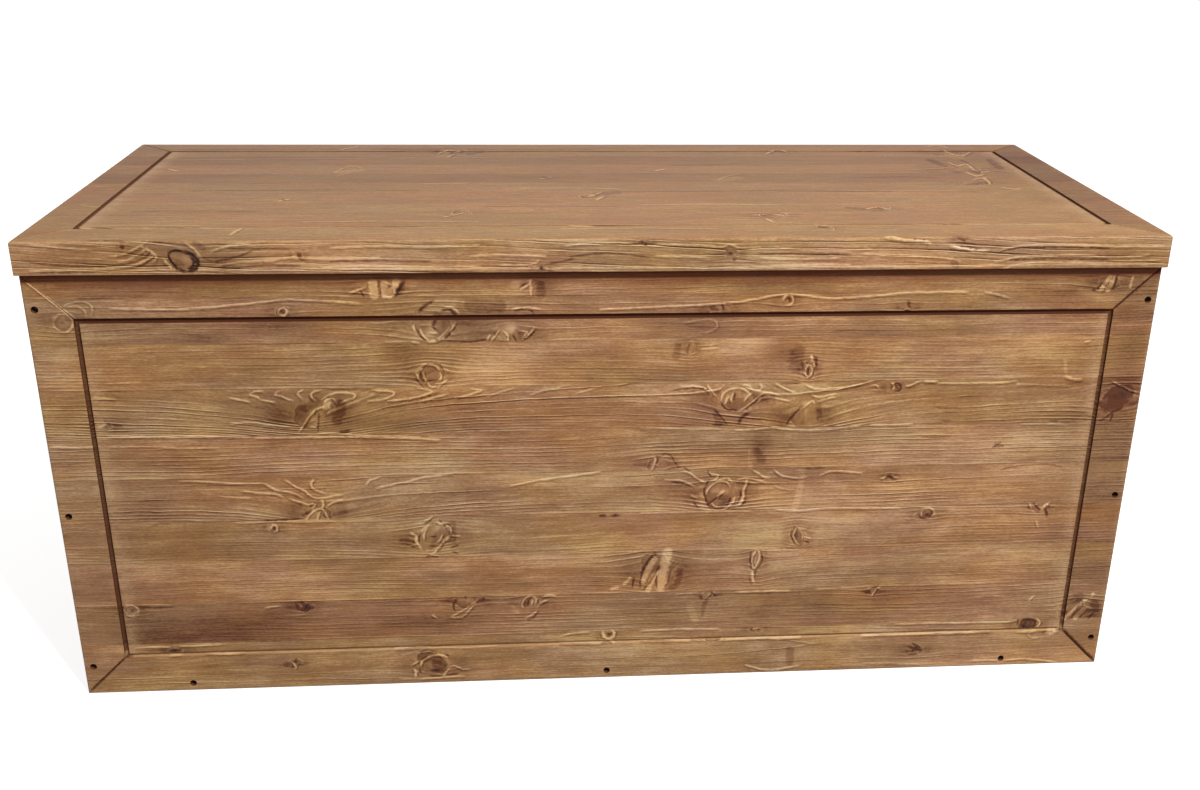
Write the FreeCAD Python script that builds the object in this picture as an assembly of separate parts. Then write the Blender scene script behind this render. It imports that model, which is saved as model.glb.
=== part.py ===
import FreeCAD, Part
import math
import os

# Blanket chest of edge-glued pine boards: a box of five butted panels under a thick hinged lid.
# Millimetres. X runs along the front, Y from the front to the back, Z up from the floor.
# The origin is on the floor, in the middle of the space that the closed chest takes up.

Vector = FreeCAD.Vector

# The box and its lid
body_width = 1000.0
body_depth = 405.0
body_height = 420.0
panel_thickness = 18.0
panel_rounding = 2.5
lid_thickness = 30.0
lid_side_overhang = 1.0
lid_front_overhang = 7.0
lid_rounding = 2.5
lid_gap = 0.6
cut_overrun = 2.0

# Routed line and scored mitres on the front, the ends and the lid
groove_inset = 42.0
groove_width = 4.8
groove_depth = 2.8
score_width = 2.0
score_depth = 1.2

# Battens that keep the lid flat
batten_width = 45.0
batten_thickness = 18.0
batten_end_gap = 14.0
batten_rounding = 3.0
batten_place_share = 0.30
batten_screw_shares = (-0.36, 0.0, 0.36)

# Sunk screws that hold the panels together, each at the bottom of a round recess
trim_head_radius = 2.9
trim_head_cone = 2.0
trim_shank_radius = 2.0
trim_length = 45.0
trim_tip = 5.0
trim_recess_radius = 3.2
trim_recess_depth = 6.0
stile_screw_shares = (0.073, 0.455, 0.925)
rail_screw_shares = (-0.40, 0.0, 0.40)
end_screw_shares = (-0.30, 0.30)

# Countersunk screws of the battens and of the metalwork
batten_head_radius = 3.8
batten_head_cone = 2.4
batten_shank_radius = 1.9
batten_screw_length = 38.0
batten_screw_tip = 5.0
fitting_head_radius = 3.2
fitting_head_cone = 1.7
fitting_shank_radius = 1.5
fitting_screw_length = 14.0
fitting_screw_tip = 4.0
screw_clearance = 0.05

# Three butt hinges let into the back panel and the lid
hinge_length = 64.0
hinge_place_share = 0.36
leaf_depth = 15.0
leaf_thickness = 2.0
leaf_fit = 0.1
barrel_radius = 3.6
barrel_standoff = 0.3
knuckle_count = 5
knuckle_gap = 0.2
pin_radius = 1.8
pin_seat_clearance = 0.02
pin_running_clearance = 0.05
leaf_screw_shares = (-0.34, 0.0, 0.34)

# Two slotted stays that stop the lid: stud and pivot are equally far from the hinge pin
lid_opening_degrees = 95.0
stay_reach = 150.0
stay_pivot_drop = 11.5
stay_stud_drop = 39.0
stay_wall_gap = 6.5
stay_side_gap = 0.3
arm_width = 14.0
arm_thickness = 2.0
slot_end_gap = 0.6
stud_radius = 3.0
stud_slot_clearance = 0.3
stud_head_radius = 5.4
stud_head_height = 2.0
stud_tail_radius = 2.4
plate_width = 15.0
plate_length = 46.0
plate_thickness = 2.0
plate_screw_share = 0.34
bracket_thickness = 2.0
bracket_width = 34.0
bracket_flange = 18.0
bracket_bend_radius = 1.5
bracket_screw_share = 0.30
ear_radius = 7.0
rivet_radius = 2.5
rivet_head_radius = 4.4
rivet_head_height = 1.2

full_turn = 360.0
along_x = Vector(1, 0, 0)
along_y = Vector(0, 1, 0)
along_z = Vector(0, 0, 1)

# Planes and lines that the pieces share
half_width = body_width / 2
inner_half_width = half_width - panel_thickness
total_depth = lid_front_overhang + body_depth + barrel_standoff + 2 * barrel_radius
lid_front_y = -total_depth / 2
front_y = lid_front_y + lid_front_overhang
back_y = front_y + body_depth
inner_front_y = front_y + panel_thickness
inner_back_y = back_y - panel_thickness
middle_y = (front_y + back_y) / 2
inner_depth = inner_back_y - inner_front_y
lid_low_z = body_height + lid_gap
lid_top_z = lid_low_z + lid_thickness
lid_half_width = half_width + lid_side_overhang
lid_depth = back_y - lid_front_y
hinge_y = back_y + barrel_standoff + barrel_radius
hinge_z = body_height + lid_gap / 2
edge_middle = panel_thickness / 2

trim_screw = (trim_head_radius, trim_head_cone, trim_shank_radius, trim_length, trim_tip)
batten_screw = (batten_head_radius, batten_head_cone,
                batten_shank_radius, batten_screw_length, batten_screw_tip)
fitting_screw = (fitting_head_radius, fitting_head_cone,
                 fitting_shank_radius, fitting_screw_length, fitting_screw_tip)


def box(low, high):
    size = high - low
    return Part.makeBox(size.x, size.y, size.z, low)


def single(shape):
    if len(shape.Solids) != 1:
        raise ValueError("a piece came out as %d solids" % len(shape.Solids))
    return shape.Solids[0]


def joined(shapes):
    return single(shapes[0].multiFuse(shapes[1:]).removeSplitter())


def turned(points):
    # A solid of revolution about Z from radius and height pairs
    corners = [Vector(radius, 0, height) for radius, height in points]
    outline = Part.makePolygon(corners + corners[:1])
    return Part.Face(outline).revolve(Vector(), along_z, full_turn)


def placed(shape, origin, x_axis, z_axis):
    turn = FreeCAD.Rotation(x_axis, z_axis.cross(x_axis), z_axis, "ZXY")
    moved = shape.copy()
    moved.Placement = FreeCAD.Placement(origin, turn).multiply(shape.Placement)
    return moved


def across(direction):
    # An axis square to a direction that lies along another axis
    return along_y if abs(direction.y) < abs(direction.x) + abs(direction.z) else along_x


def screw(kind, origin, outward):
    head, cone, shank, length, tip = kind
    body = turned([(0, 0), (head, 0), (shank, -cone), (shank, tip - length), (0, -length)])
    return placed(body, origin, across(outward), outward)


def bore(kind, origin, outward, mouth_radius, mouth_height):
    # The hole that a screw sits in, with a straight mouth above its head
    head, cone, shank, length, tip = kind
    hole_radius = shank + screw_clearance
    body = turned([(0, mouth_height), (mouth_radius, mouth_height), (mouth_radius, 0),
                   (hole_radius, -cone), (hole_radius, tip - length), (0, -length - screw_clearance)])
    return placed(body, origin, across(outward), outward)


def sunk_screw(face_point, outward):
    # A screw below the surface of a board, and its recess
    origin = face_point - outward * trim_recess_depth
    hole = bore(trim_screw, origin, outward, trim_recess_radius, trim_recess_depth + cut_overrun)
    return screw(trim_screw, origin, outward), hole


def flush_screw(kind, face_point, outward):
    # A countersunk screw with its head level with a surface, and its hole
    hole = bore(kind, face_point, outward, kind[0] + screw_clearance, cut_overrun)
    return screw(kind, face_point, outward), hole


def groove_profile(middle, sideways):
    # The outline of a round-nosed cutter, upright in the plane of Z and the sideways direction
    radius = groove_width / 2
    out = sideways * radius
    top = along_z * cut_overrun
    low = along_z * (radius - groove_depth)
    nose = Part.Arc(middle - out + low, middle - along_z * groove_depth, middle + out + low).toShape()
    sides = [Part.makeLine(middle - out + top, middle - out + low), nose,
             Part.makeLine(middle + out + low, middle + out + top),
             Part.makeLine(middle + out + top, middle - out + top)]
    return Part.Face(Part.Wire(sides))


def groove_corner(middle):
    # The round end that the cutter leaves where two runs meet
    radius = groove_width / 2
    low = radius - groove_depth
    on_arc = radius / math.sqrt(2)
    tip, crown = Vector(0, 0, -groove_depth), Vector(0, 0, cut_overrun)
    rim_low, rim_top = Vector(radius, 0, low), Vector(radius, 0, cut_overrun)
    nose = Part.Arc(rim_low, Vector(on_arc, 0, low - on_arc), tip).toShape()
    sides = [Part.makeLine(tip, crown), Part.makeLine(crown, rim_top),
             Part.makeLine(rim_top, rim_low), nose]
    plug = Part.Face(Part.Wire(sides)).revolve(Vector(), along_z, full_turn)
    return placed(plug, middle, along_x, along_z)


def mitre_score(inner, outer):
    # A fine V cut from a corner of the groove out over the corner of the board
    run = outer - inner
    forward = run / run.Length
    spread = 1 + cut_overrun / score_depth
    out = along_z.cross(forward) * (score_width / 2 * spread)
    top = inner + along_z * cut_overrun
    low = inner - along_z * score_depth
    outline = Part.makePolygon([low, top + out, top - out, low])
    return Part.Face(outline).extrude(run + forward * (score_width + cut_overrun))


def framed(board, width, height, middle, x_axis, outward):
    # The routed line with its four mitres, cut into the face of a board
    x, y = width / 2 - groove_inset, height / 2 - groove_inset
    turns = [(-1, -1), (1, -1), (1, 1), (-1, 1)]
    corners = [Vector(x * u, y * v, 0) for u, v in turns]
    outer_corners = [Vector(width / 2 * u, height / 2 * v, 0) for u, v in turns]
    tools = []
    for index, start in enumerate(corners):
        run = corners[(index + 1) % len(corners)] - start
        sideways = along_z.cross(run / run.Length)
        tools.append(groove_profile(start, sideways).extrude(run))
        tools.append(groove_corner(start))
        tools.append(mitre_score(start, outer_corners[index]))
    return single(board.cut([placed(tool, middle, x_axis, outward) for tool in tools]))


def edges_on(shape, axis, value):
    # The edges of a board that lie wholly in one plane square to an axis
    reach = panel_rounding / 2
    return [edge for edge in shape.Edges
            if all(abs(getattr(vertex.Point, axis) - value) < reach for vertex in edge.Vertexes)]


def rounded_board(low, high, outer_y):
    # A full-width panel with its outer edges eased
    board = box(low, high)
    return board.makeFillet(panel_rounding, edges_on(board, "y", outer_y))


def carcass_screws(face_y, outward):
    # Nine sunk screws: three into the edge of each end panel and three into the bottom
    places = [(side * (half_width - edge_middle), share * body_height)
              for side in (-1, 1) for share in stile_screw_shares]
    places += [(share * body_width, edge_middle) for share in rail_screw_shares]
    return [sunk_screw(Vector(x, face_y, z), outward) for x, z in places]


def end_screws(side):
    # Sunk screws through an end panel into the bottom
    return [sunk_screw(Vector(side * half_width, middle_y + share * inner_depth, edge_middle),
                       along_x * side) for share in end_screw_shares]


def screws_of(pairs):
    return Part.makeCompound([solid for solid, hole in pairs])


def holes_of(pairs):
    return [hole for solid, hole in pairs]


def leaf_plate_x(middle, extra):
    return middle - hinge_length / 2 - extra, middle + hinge_length / 2 + extra


def hinge_leaf(middle, first_knuckle, plate_z, hole_radius, holes):
    # A leaf with every second knuckle of the barrel, drilled for the pin and for its screws
    low_x, high_x = leaf_plate_x(middle, 0)
    high_z = plate_z + leaf_thickness
    pitch = hinge_length / knuckle_count
    pieces = [box(Vector(low_x, back_y - leaf_depth, plate_z), Vector(high_x, back_y, high_z))]
    for index in range(first_knuckle, knuckle_count, 2):
        start = low_x + index * pitch + knuckle_gap / 2
        end = low_x + (index + 1) * pitch - knuckle_gap / 2
        pieces.append(box(Vector(start, back_y - leaf_thickness, plate_z), Vector(end, hinge_y, high_z)))
        pieces.append(Part.makeCylinder(barrel_radius, end - start,
                                        Vector(start, hinge_y, hinge_z), along_x))
    pin_hole = Part.makeCylinder(hole_radius, hinge_length, Vector(low_x, hinge_y, hinge_z), along_x)
    return single(joined(pieces).cut([pin_hole] + holes))


def hinge_pin(middle):
    start = middle - hinge_length / 2 + knuckle_gap / 2
    return Part.makeCylinder(pin_radius, hinge_length - knuckle_gap,
                             Vector(start, hinge_y, hinge_z), along_x)


def leaf_recess(middle, low_z, high_z):
    # The shallow seat for a leaf in the back panel or the lid
    low_x, high_x = leaf_plate_x(middle, leaf_fit)
    return box(Vector(low_x, back_y - leaf_depth - leaf_fit, low_z),
               Vector(high_x, back_y + cut_overrun, high_z))


def leaf_screws(middle, face_z, outward):
    y = back_y - leaf_depth / 2
    return [flush_screw(fitting_screw, Vector(middle + share * hinge_length, y, face_z), outward)
            for share in leaf_screw_shares]


def batten(side):
    # A flat bar under the lid, eased along its lower edges
    x = side * batten_place_share * body_width
    low = Vector(x - batten_width / 2, inner_front_y + batten_end_gap, lid_low_z - batten_thickness)
    high = Vector(x + batten_width / 2, inner_back_y - batten_end_gap, lid_low_z)
    bar = box(low, high)
    bar = bar.makeFillet(batten_rounding, edges_on(bar, "z", low.z))
    length = high.y - low.y
    fixings = [flush_screw(batten_screw, Vector(x, middle_y + share * length, low.z), -along_z)
               for share in batten_screw_shares]
    return single(bar.cut(holes_of(fixings))), fixings


# Pivot and stud of the stays, in the plane of Y and Z. Both lie on one circle about the hinge pin,
# so the arm turns through half the angle of the lid.
pivot_y = hinge_y - math.sqrt(stay_reach ** 2 - stay_pivot_drop ** 2)
pivot_z = hinge_z - stay_pivot_drop
stud_y = hinge_y - math.sqrt(stay_reach ** 2 - stay_stud_drop ** 2)
stud_z = hinge_z - stay_stud_drop
closed_angle = math.asin(stay_stud_drop / stay_reach) - math.asin(stay_pivot_drop / stay_reach)
open_angle = closed_angle + math.radians(lid_opening_degrees)
closed_run = 2 * stay_reach * math.sin(closed_angle / 2)
open_run = 2 * stay_reach * math.sin(open_angle / 2)
arm_direction = Vector(0, stud_y - pivot_y, stud_z - pivot_z).normalize()

# Layers of a stay along X, from the end panel inwards
arm_outer_x = inner_half_width - stay_wall_gap
arm_inner_x = arm_outer_x - arm_thickness
ear_outer_x = arm_inner_x - stay_side_gap
ear_inner_x = ear_outer_x - bracket_thickness
plate_inner_x = inner_half_width - plate_thickness
stud_head_x = arm_inner_x - stay_side_gap


def bar_with_round_ends(length, width, thickness):
    # A flat bar from the origin along X, both ends round about its end points
    radius = width / 2
    start, end = Vector(0, 0, 0), Vector(length, 0, 0)
    out = along_y * radius
    sides = [Part.makeLine(start + out, end + out),
             Part.Arc(end + out, end + along_x * radius, end - out).toShape(),
             Part.makeLine(end - out, start - out),
             Part.Arc(start - out, start - along_x * radius, start + out).toShape()]
    return Part.Face(Part.Wire(sides)).extrude(along_z * thickness)


def stay_arm():
    slot_width = 2 * (stud_radius + stud_slot_clearance)
    slot_start = closed_run - slot_end_gap
    slot_length = open_run + slot_end_gap - slot_start
    arm = bar_with_round_ends(open_run + slot_end_gap, arm_width, arm_thickness)
    slot = bar_with_round_ends(slot_length, slot_width, arm_thickness + 2 * cut_overrun)
    slot.translate(Vector(slot_start, 0, -cut_overrun))
    eye = Part.makeCylinder(rivet_radius + pin_running_clearance, arm_thickness + 2 * cut_overrun,
                            Vector(0, 0, -cut_overrun))
    return placed(single(arm.cut([slot, eye])), Vector(arm_inner_x, pivot_y, pivot_z),
                  arm_direction, along_x)


def stay_plate():
    # A small plate on the inside of the end panel, with its two screws
    lower = Vector(plate_inner_x, stud_y, stud_z - plate_length / 2 + plate_width / 2)
    plate = placed(bar_with_round_ends(plate_length - plate_width, plate_width, plate_thickness),
                   lower, along_z, along_x)
    fixings = [flush_screw(fitting_screw, Vector(plate_inner_x, stud_y, stud_z + turn * plate_length
                                                 * plate_screw_share), -along_x) for turn in (-1, 1)]
    tail_hole = Part.makeCylinder(stud_tail_radius + pin_seat_clearance, plate_thickness,
                                  Vector(plate_inner_x, stud_y, stud_z), along_x)
    return single(plate.cut([tail_hole] + holes_of(fixings))), fixings


def stay_stud():
    # A shouldered stud: its tail sits in the plate, its neck in the slot, its head holds the arm
    neck = plate_inner_x - stud_head_x
    stud = turned([(0, -plate_thickness), (stud_tail_radius, -plate_thickness), (stud_tail_radius, 0),
                   (stud_radius, 0), (stud_radius, neck), (stud_head_radius, neck),
                   (stud_head_radius, neck + stud_head_height), (0, neck + stud_head_height)])
    return placed(stud, Vector(plate_inner_x, stud_y, stud_z), along_y, -along_x)


def stay_bracket():
    # An angle under the lid: a flange with two screws and an ear that carries the arm
    flange_low_z = lid_low_z - bracket_thickness
    flange = box(Vector(ear_inner_x - bracket_flange, pivot_y - bracket_width / 2, flange_low_z),
                 Vector(ear_outer_x, pivot_y + bracket_width / 2, lid_low_z))
    ear = placed(bar_with_round_ends(lid_low_z - pivot_z, 2 * ear_radius, bracket_thickness),
                 Vector(ear_inner_x, pivot_y, pivot_z), along_z, along_x)
    ear = ear.common(box(Vector(ear_inner_x, pivot_y - bracket_width, pivot_z - bracket_width),
                         Vector(ear_outer_x, pivot_y + bracket_width, lid_low_z)))
    angle = joined([flange, ear])
    bend = [edge for edge in edges_on(angle, "x", ear_outer_x)
            if all(abs(vertex.Z - lid_low_z) < bracket_bend_radius for vertex in edge.Vertexes)]
    angle = angle.makeFillet(bracket_bend_radius, bend)
    x = ear_inner_x - bracket_flange / 2
    fixings = [flush_screw(fitting_screw, Vector(x, pivot_y + turn * bracket_width * bracket_screw_share,
                                                 flange_low_z), -along_z) for turn in (-1, 1)]
    rivet_hole = Part.makeCylinder(rivet_radius + pin_seat_clearance, bracket_thickness,
                                   Vector(ear_inner_x, pivot_y, pivot_z), along_x)
    return single(angle.cut([rivet_hole] + holes_of(fixings))), fixings


def stay_rivet():
    # The pivot between the ear and the arm, headed on both sides
    start_x, end_x = ear_inner_x, arm_outer_x + stay_side_gap
    length = end_x - start_x
    rivet = turned([(0, -rivet_head_height), (rivet_head_radius, -rivet_head_height),
                    (rivet_head_radius, 0), (rivet_radius, 0), (rivet_radius, length),
                    (rivet_head_radius, length), (rivet_head_radius, length + rivet_head_height),
                    (0, length + rivet_head_height)])
    return placed(rivet, Vector(start_x, pivot_y, pivot_z), along_y, along_x)


def mirrored(shape):
    return shape.mirror(Vector(), along_x)


def two_sided(shapes):
    return shapes + [mirrored(shape) for shape in shapes]


# Screws and the holes that they need
front_fixings = carcass_screws(front_y, -along_y)
back_fixings = carcass_screws(back_y, along_y)
left_fixings = end_screws(-1)
right_fixings = end_screws(1)
hinge_places = {"left": -hinge_place_share * body_width, "middle": 0.0,
                "right": hinge_place_share * body_width}
case_leaf_fixings = {name: leaf_screws(x, body_height, along_z) for name, x in hinge_places.items()}
lid_leaf_fixings = {name: leaf_screws(x, lid_low_z, -along_z) for name, x in hinge_places.items()}
battens = {"left": batten(-1), "right": batten(1)}
plate, plate_fixings = stay_plate()
bracket, bracket_fixings = stay_bracket()

parts = {}

# The box
case_leaf_holes = [hole for pairs in case_leaf_fixings.values() for hole in holes_of(pairs)]
case_recesses = [leaf_recess(x, body_height - leaf_thickness, body_height + cut_overrun)
                 for x in hinge_places.values()]
front_board = rounded_board(Vector(-half_width, front_y, 0),
                            Vector(half_width, inner_front_y, body_height), front_y)
front_board = framed(front_board, body_width, body_height,
                     Vector(0, front_y, body_height / 2), along_x, -along_y)
parts["front_panel"] = single(front_board.cut(holes_of(front_fixings)))
back_board = rounded_board(Vector(-half_width, inner_back_y, 0),
                           Vector(half_width, back_y, body_height), back_y)
parts["back_panel"] = single(back_board.cut(holes_of(back_fixings) + case_recesses + case_leaf_holes))
for name, side, fixings in (("left_panel", -1, left_fixings), ("right_panel", 1, right_fixings)):
    faces = sorted((side * half_width, side * inner_half_width))
    board = box(Vector(faces[0], inner_front_y, 0), Vector(faces[1], inner_back_y, body_height))
    board = framed(board, inner_depth, body_height, Vector(side * half_width, middle_y, body_height / 2),
                   along_y * side, along_x * side)
    inside = plate_fixings if side > 0 else [[mirrored(shape) for shape in pair] for pair in plate_fixings]
    parts[name] = single(board.cut(holes_of(front_fixings + back_fixings + fixings + inside)))
bottom_board = box(Vector(-inner_half_width, inner_front_y, 0),
                   Vector(inner_half_width, inner_back_y, panel_thickness))
parts["bottom_panel"] = single(bottom_board.cut(holes_of(front_fixings + back_fixings
                                                         + left_fixings + right_fixings)))

# The lid
lid_board = box(Vector(-lid_half_width, lid_front_y, lid_low_z), Vector(lid_half_width, back_y, lid_top_z))
rear_low_edge = [edge.hashCode() for edge in edges_on(lid_board, "y", back_y)
                 if all(abs(vertex.Z - lid_low_z) < lid_rounding for vertex in edge.Vertexes)]
lid_board = lid_board.makeFillet(lid_rounding, [edge for edge in lid_board.Edges
                                                if edge.hashCode() not in rear_low_edge])
lid_board = framed(lid_board, 2 * lid_half_width, lid_depth,
                   Vector(0, (lid_front_y + back_y) / 2, lid_top_z), along_x, along_z)
lid_holes = [hole for pairs in lid_leaf_fixings.values() for hole in holes_of(pairs)]
lid_holes += [hole for bar, fixings in battens.values() for hole in holes_of(fixings)]
lid_holes += two_sided(holes_of(bracket_fixings))
lid_holes += [leaf_recess(x, lid_low_z - cut_overrun, lid_low_z + leaf_thickness)
              for x in hinge_places.values()]
parts["lid_panel"] = single(lid_board.cut(lid_holes))
for name, (bar, fixings) in battens.items():
    parts["lid_batten_" + name] = bar

# The hinges
for name, x in hinge_places.items():
    parts["hinge_case_leaf_" + name] = hinge_leaf(x, 0, body_height - leaf_thickness,
                                                  pin_radius + pin_seat_clearance,
                                                  holes_of(case_leaf_fixings[name]))
    parts["hinge_lid_leaf_" + name] = hinge_leaf(x, 1, lid_low_z, pin_radius + pin_running_clearance,
                                                 holes_of(lid_leaf_fixings[name]))
    parts["hinge_pin_" + name] = hinge_pin(x)

# The stays
right_stay = {"stay_plate": plate, "stay_stud": stay_stud(), "stay_arm": stay_arm(),
              "stay_bracket": bracket, "stay_rivet": stay_rivet()}
for name, shape in right_stay.items():
    parts[name + "_right"] = shape
    parts[name + "_left"] = mirrored(shape)

# The screws, each kind and body as one group
parts["front_screws"] = screws_of(front_fixings)
parts["back_screws"] = screws_of(back_fixings)
parts["left_end_screws"] = screws_of(left_fixings)
parts["right_end_screws"] = screws_of(right_fixings)
parts["hinge_case_screws"] = screws_of(sum(case_leaf_fixings.values(), []))
parts["hinge_lid_screws"] = screws_of(sum(lid_leaf_fixings.values(), []))
parts["batten_screws"] = screws_of(sum((fixings for bar, fixings in battens.values()), []))
parts["stay_plate_screws"] = Part.makeCompound(two_sided([solid for solid, hole in plate_fixings]))
parts["stay_bracket_screws"] = Part.makeCompound(two_sided([solid for solid, hole in bracket_fixings]))

os.makedirs("parts", exist_ok=True)
for name, shape in parts.items():
    shape.exportStep("parts/%s.step" % name)

print("pieces", len(parts), "arm run closed %.2f open %.2f" % (closed_run, open_run))
print("hinge axis y %.4f z %.4f, stay pivot y %.4f z %.4f" % (hinge_y, hinge_z, pivot_y, pivot_z))
print("stay layers x: arm %.2f to %.2f, ear to %.2f" % (arm_outer_x, arm_inner_x, ear_inner_x))
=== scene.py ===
import bpy
import bmesh
import math
import random
import numpy as np
from mathutils import Matrix, Vector


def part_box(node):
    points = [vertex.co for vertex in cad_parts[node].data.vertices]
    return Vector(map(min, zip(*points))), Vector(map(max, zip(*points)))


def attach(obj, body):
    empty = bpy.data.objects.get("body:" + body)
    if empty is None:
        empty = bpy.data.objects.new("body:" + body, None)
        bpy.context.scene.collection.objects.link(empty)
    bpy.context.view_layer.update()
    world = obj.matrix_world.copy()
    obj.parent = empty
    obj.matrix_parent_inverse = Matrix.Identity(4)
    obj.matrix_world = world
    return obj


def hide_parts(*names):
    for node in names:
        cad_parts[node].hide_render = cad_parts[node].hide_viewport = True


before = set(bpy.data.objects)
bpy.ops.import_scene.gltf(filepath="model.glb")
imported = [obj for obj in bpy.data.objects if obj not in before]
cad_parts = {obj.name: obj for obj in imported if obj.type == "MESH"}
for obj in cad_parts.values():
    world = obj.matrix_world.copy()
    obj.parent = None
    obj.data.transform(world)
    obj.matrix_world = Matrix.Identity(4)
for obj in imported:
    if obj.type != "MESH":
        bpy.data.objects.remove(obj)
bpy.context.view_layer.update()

metre = 1000.0  # the script works in millimetres, meshes are in metres
axisIndex = {"x": 0, "y": 1, "z": 2}
print("frame loaded,", len(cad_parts), "nodes")

# Camera and the photograph's pixels

photo = {
    "width": 1200.0, "height": 790.0,
    "focal": 1317.36,                 # pixels
    "centre": (638.37, 403.45),       # where the lens axis meets the picture
    "eye": (-65.65, -1309.16, 747.30),
    "yaw": 4.792, "pitch": 22.207, "roll": 0.950,
    "sensor": 36.0, "clip": (0.05, 100.0),
}


def viewAxes(view):
    yaw, pitch, roll = (math.radians(view[name]) for name in ("yaw", "pitch", "roll"))
    forward = Vector((math.sin(yaw) * math.cos(pitch), math.cos(yaw) * math.cos(pitch), -math.sin(pitch)))
    level = Vector((math.cos(yaw), -math.sin(yaw), 0))
    upright = level.cross(forward)
    right = math.cos(roll) * level + math.sin(roll) * upright
    up = math.cos(roll) * upright - math.sin(roll) * level
    return right, up, forward


def onPlane(px, py, axis, value):
    # the point in millimetres where a picture pixel meets a plane of the chest
    right, up, forward = viewAxes(photo)
    across = (px - photo["centre"][0]) / photo["focal"]
    down = (py - photo["centre"][1]) / photo["focal"]
    ray = forward + right * across - up * down
    eye = Vector(photo["eye"])
    index = axisIndex[axis]
    return eye + ray * ((value - eye[index]) / ray[index])


def makeCamera(view):
    right, up, forward = viewAxes(view)
    data = bpy.data.cameras.new("camera")
    data.sensor_fit = "HORIZONTAL"
    data.sensor_width = view["sensor"]
    data.lens = view["focal"] / view["width"] * view["sensor"]
    data.shift_x = (view["width"] / 2 - view["centre"][0]) / view["width"]
    data.shift_y = (view["centre"][1] - view["height"] / 2) / view["width"]
    data.clip_start, data.clip_end = view["clip"]
    camera = bpy.data.objects.new("camera", data)
    turn = Matrix((right, up, -forward)).transposed().to_4x4()
    camera.matrix_world = Matrix.Translation(Vector(view["eye"]) / metre) @ turn
    bpy.context.collection.objects.link(camera)
    bpy.context.scene.camera = camera


makeCamera(photo)
bpy.context.scene.view_settings.view_transform = "Standard"
print("camera set")


# Shader maths: a wrapped socket takes Python operators

class Field:
    def __init__(self, tree, socket=None):
        self.tree = tree
        self.socket = socket

    def node(self, kind, settings=None, inputs=None, output=0):
        made = self.tree.nodes.new(kind)
        for name, value in (settings or {}).items():
            setattr(made, name, value)
        for key, value in (inputs or {}).items():
            if isinstance(value, Field):
                self.tree.links.new(value.socket, made.inputs[key])
            else:
                made.inputs[key].default_value = value
        return Field(self.tree, made.outputs[output])

    def maths(self, operation, *values):
        return self.node("ShaderNodeMath", {"operation": operation}, dict(enumerate(values)))

    def __add__(self, other): return self.maths("ADD", self, other)
    def __radd__(self, other): return self.maths("ADD", other, self)
    def __sub__(self, other): return self.maths("SUBTRACT", self, other)
    def __rsub__(self, other): return self.maths("SUBTRACT", other, self)
    def __mul__(self, other): return self.maths("MULTIPLY", self, other)
    def __rmul__(self, other): return self.maths("MULTIPLY", other, self)
    def __truediv__(self, other): return self.maths("DIVIDE", self, other)
    def __rtruediv__(self, other): return self.maths("DIVIDE", other, self)
    def __neg__(self): return self.maths("MULTIPLY", self, -1.0)
    def __pow__(self, other): return self.maths("POWER", self, other)
    def __abs__(self): return self.maths("ABSOLUTE", self)

    def atLeast(self, other):
        return self.maths("MAXIMUM", self, other)

    def mapped(self, kind, low, high):
        return self.node("ShaderNodeMapRange", {"interpolation_type": kind},
                         {0: self, 1: low, 2: high, 3: 0.0, 4: 1.0})

    def between(self, low, high):
        # smooth step from 0 at low to 1 at high
        return self.mapped("SMOOTHSTEP", low, high)

    def ramp(self, low, high):
        # straight step from 0 at low to 1 at high
        return self.mapped("LINEAR", low, high)

    def bump(self, middle, width):
        # a rounded peak of height 1
        return 1 - abs(self - middle).between(0.0, width)

    def split(self):
        first = self.node("ShaderNodeSeparateXYZ", None, {0: self})
        return [Field(self.tree, output) for output in first.socket.node.outputs]

    def vector(self, x, y, z):
        return self.node("ShaderNodeCombineXYZ", None, {0: x, 1: y, 2: z})

    def noise(self, place, detail=2.0, roughness=0.5):
        return self.node("ShaderNodeTexNoise", {"noise_dimensions": "3D"},
                         {"Vector": place, "Scale": 1.0, "Detail": detail, "Roughness": roughness})

    def mixed(self, colour, other):
        # this value is the factor between two colours
        return self.node("ShaderNodeMix", {"data_type": "RGBA"}, {0: self, 6: colour, 7: other}, output=2)

    def tinted(self, tint):
        # this colour times another
        return self.node("ShaderNodeMix", {"data_type": "RGBA", "blend_type": "MULTIPLY"},
                         {0: 1.0, 6: self, 7: tint}, output=2)


def shade(red, green, blue):
    # a screen colour of 0 to 255 as the linear colour that a socket takes
    def linear(value):
        value = value / 255.0
        return value / 12.92 if value <= 0.04045 else ((value + 0.055) / 1.055) ** 2.4
    return linear(red), linear(green), linear(blue), 1.0


def newMaterial(name):
    material = bpy.data.materials.new(name)
    material.use_nodes = True
    tree = material.node_tree
    return material, Field(tree), tree.nodes["Principled BSDF"]


def feed(shader, name, field):
    shader.id_data.links.new(field.socket, shader.inputs[name])


# Brushed, stained pine

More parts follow.
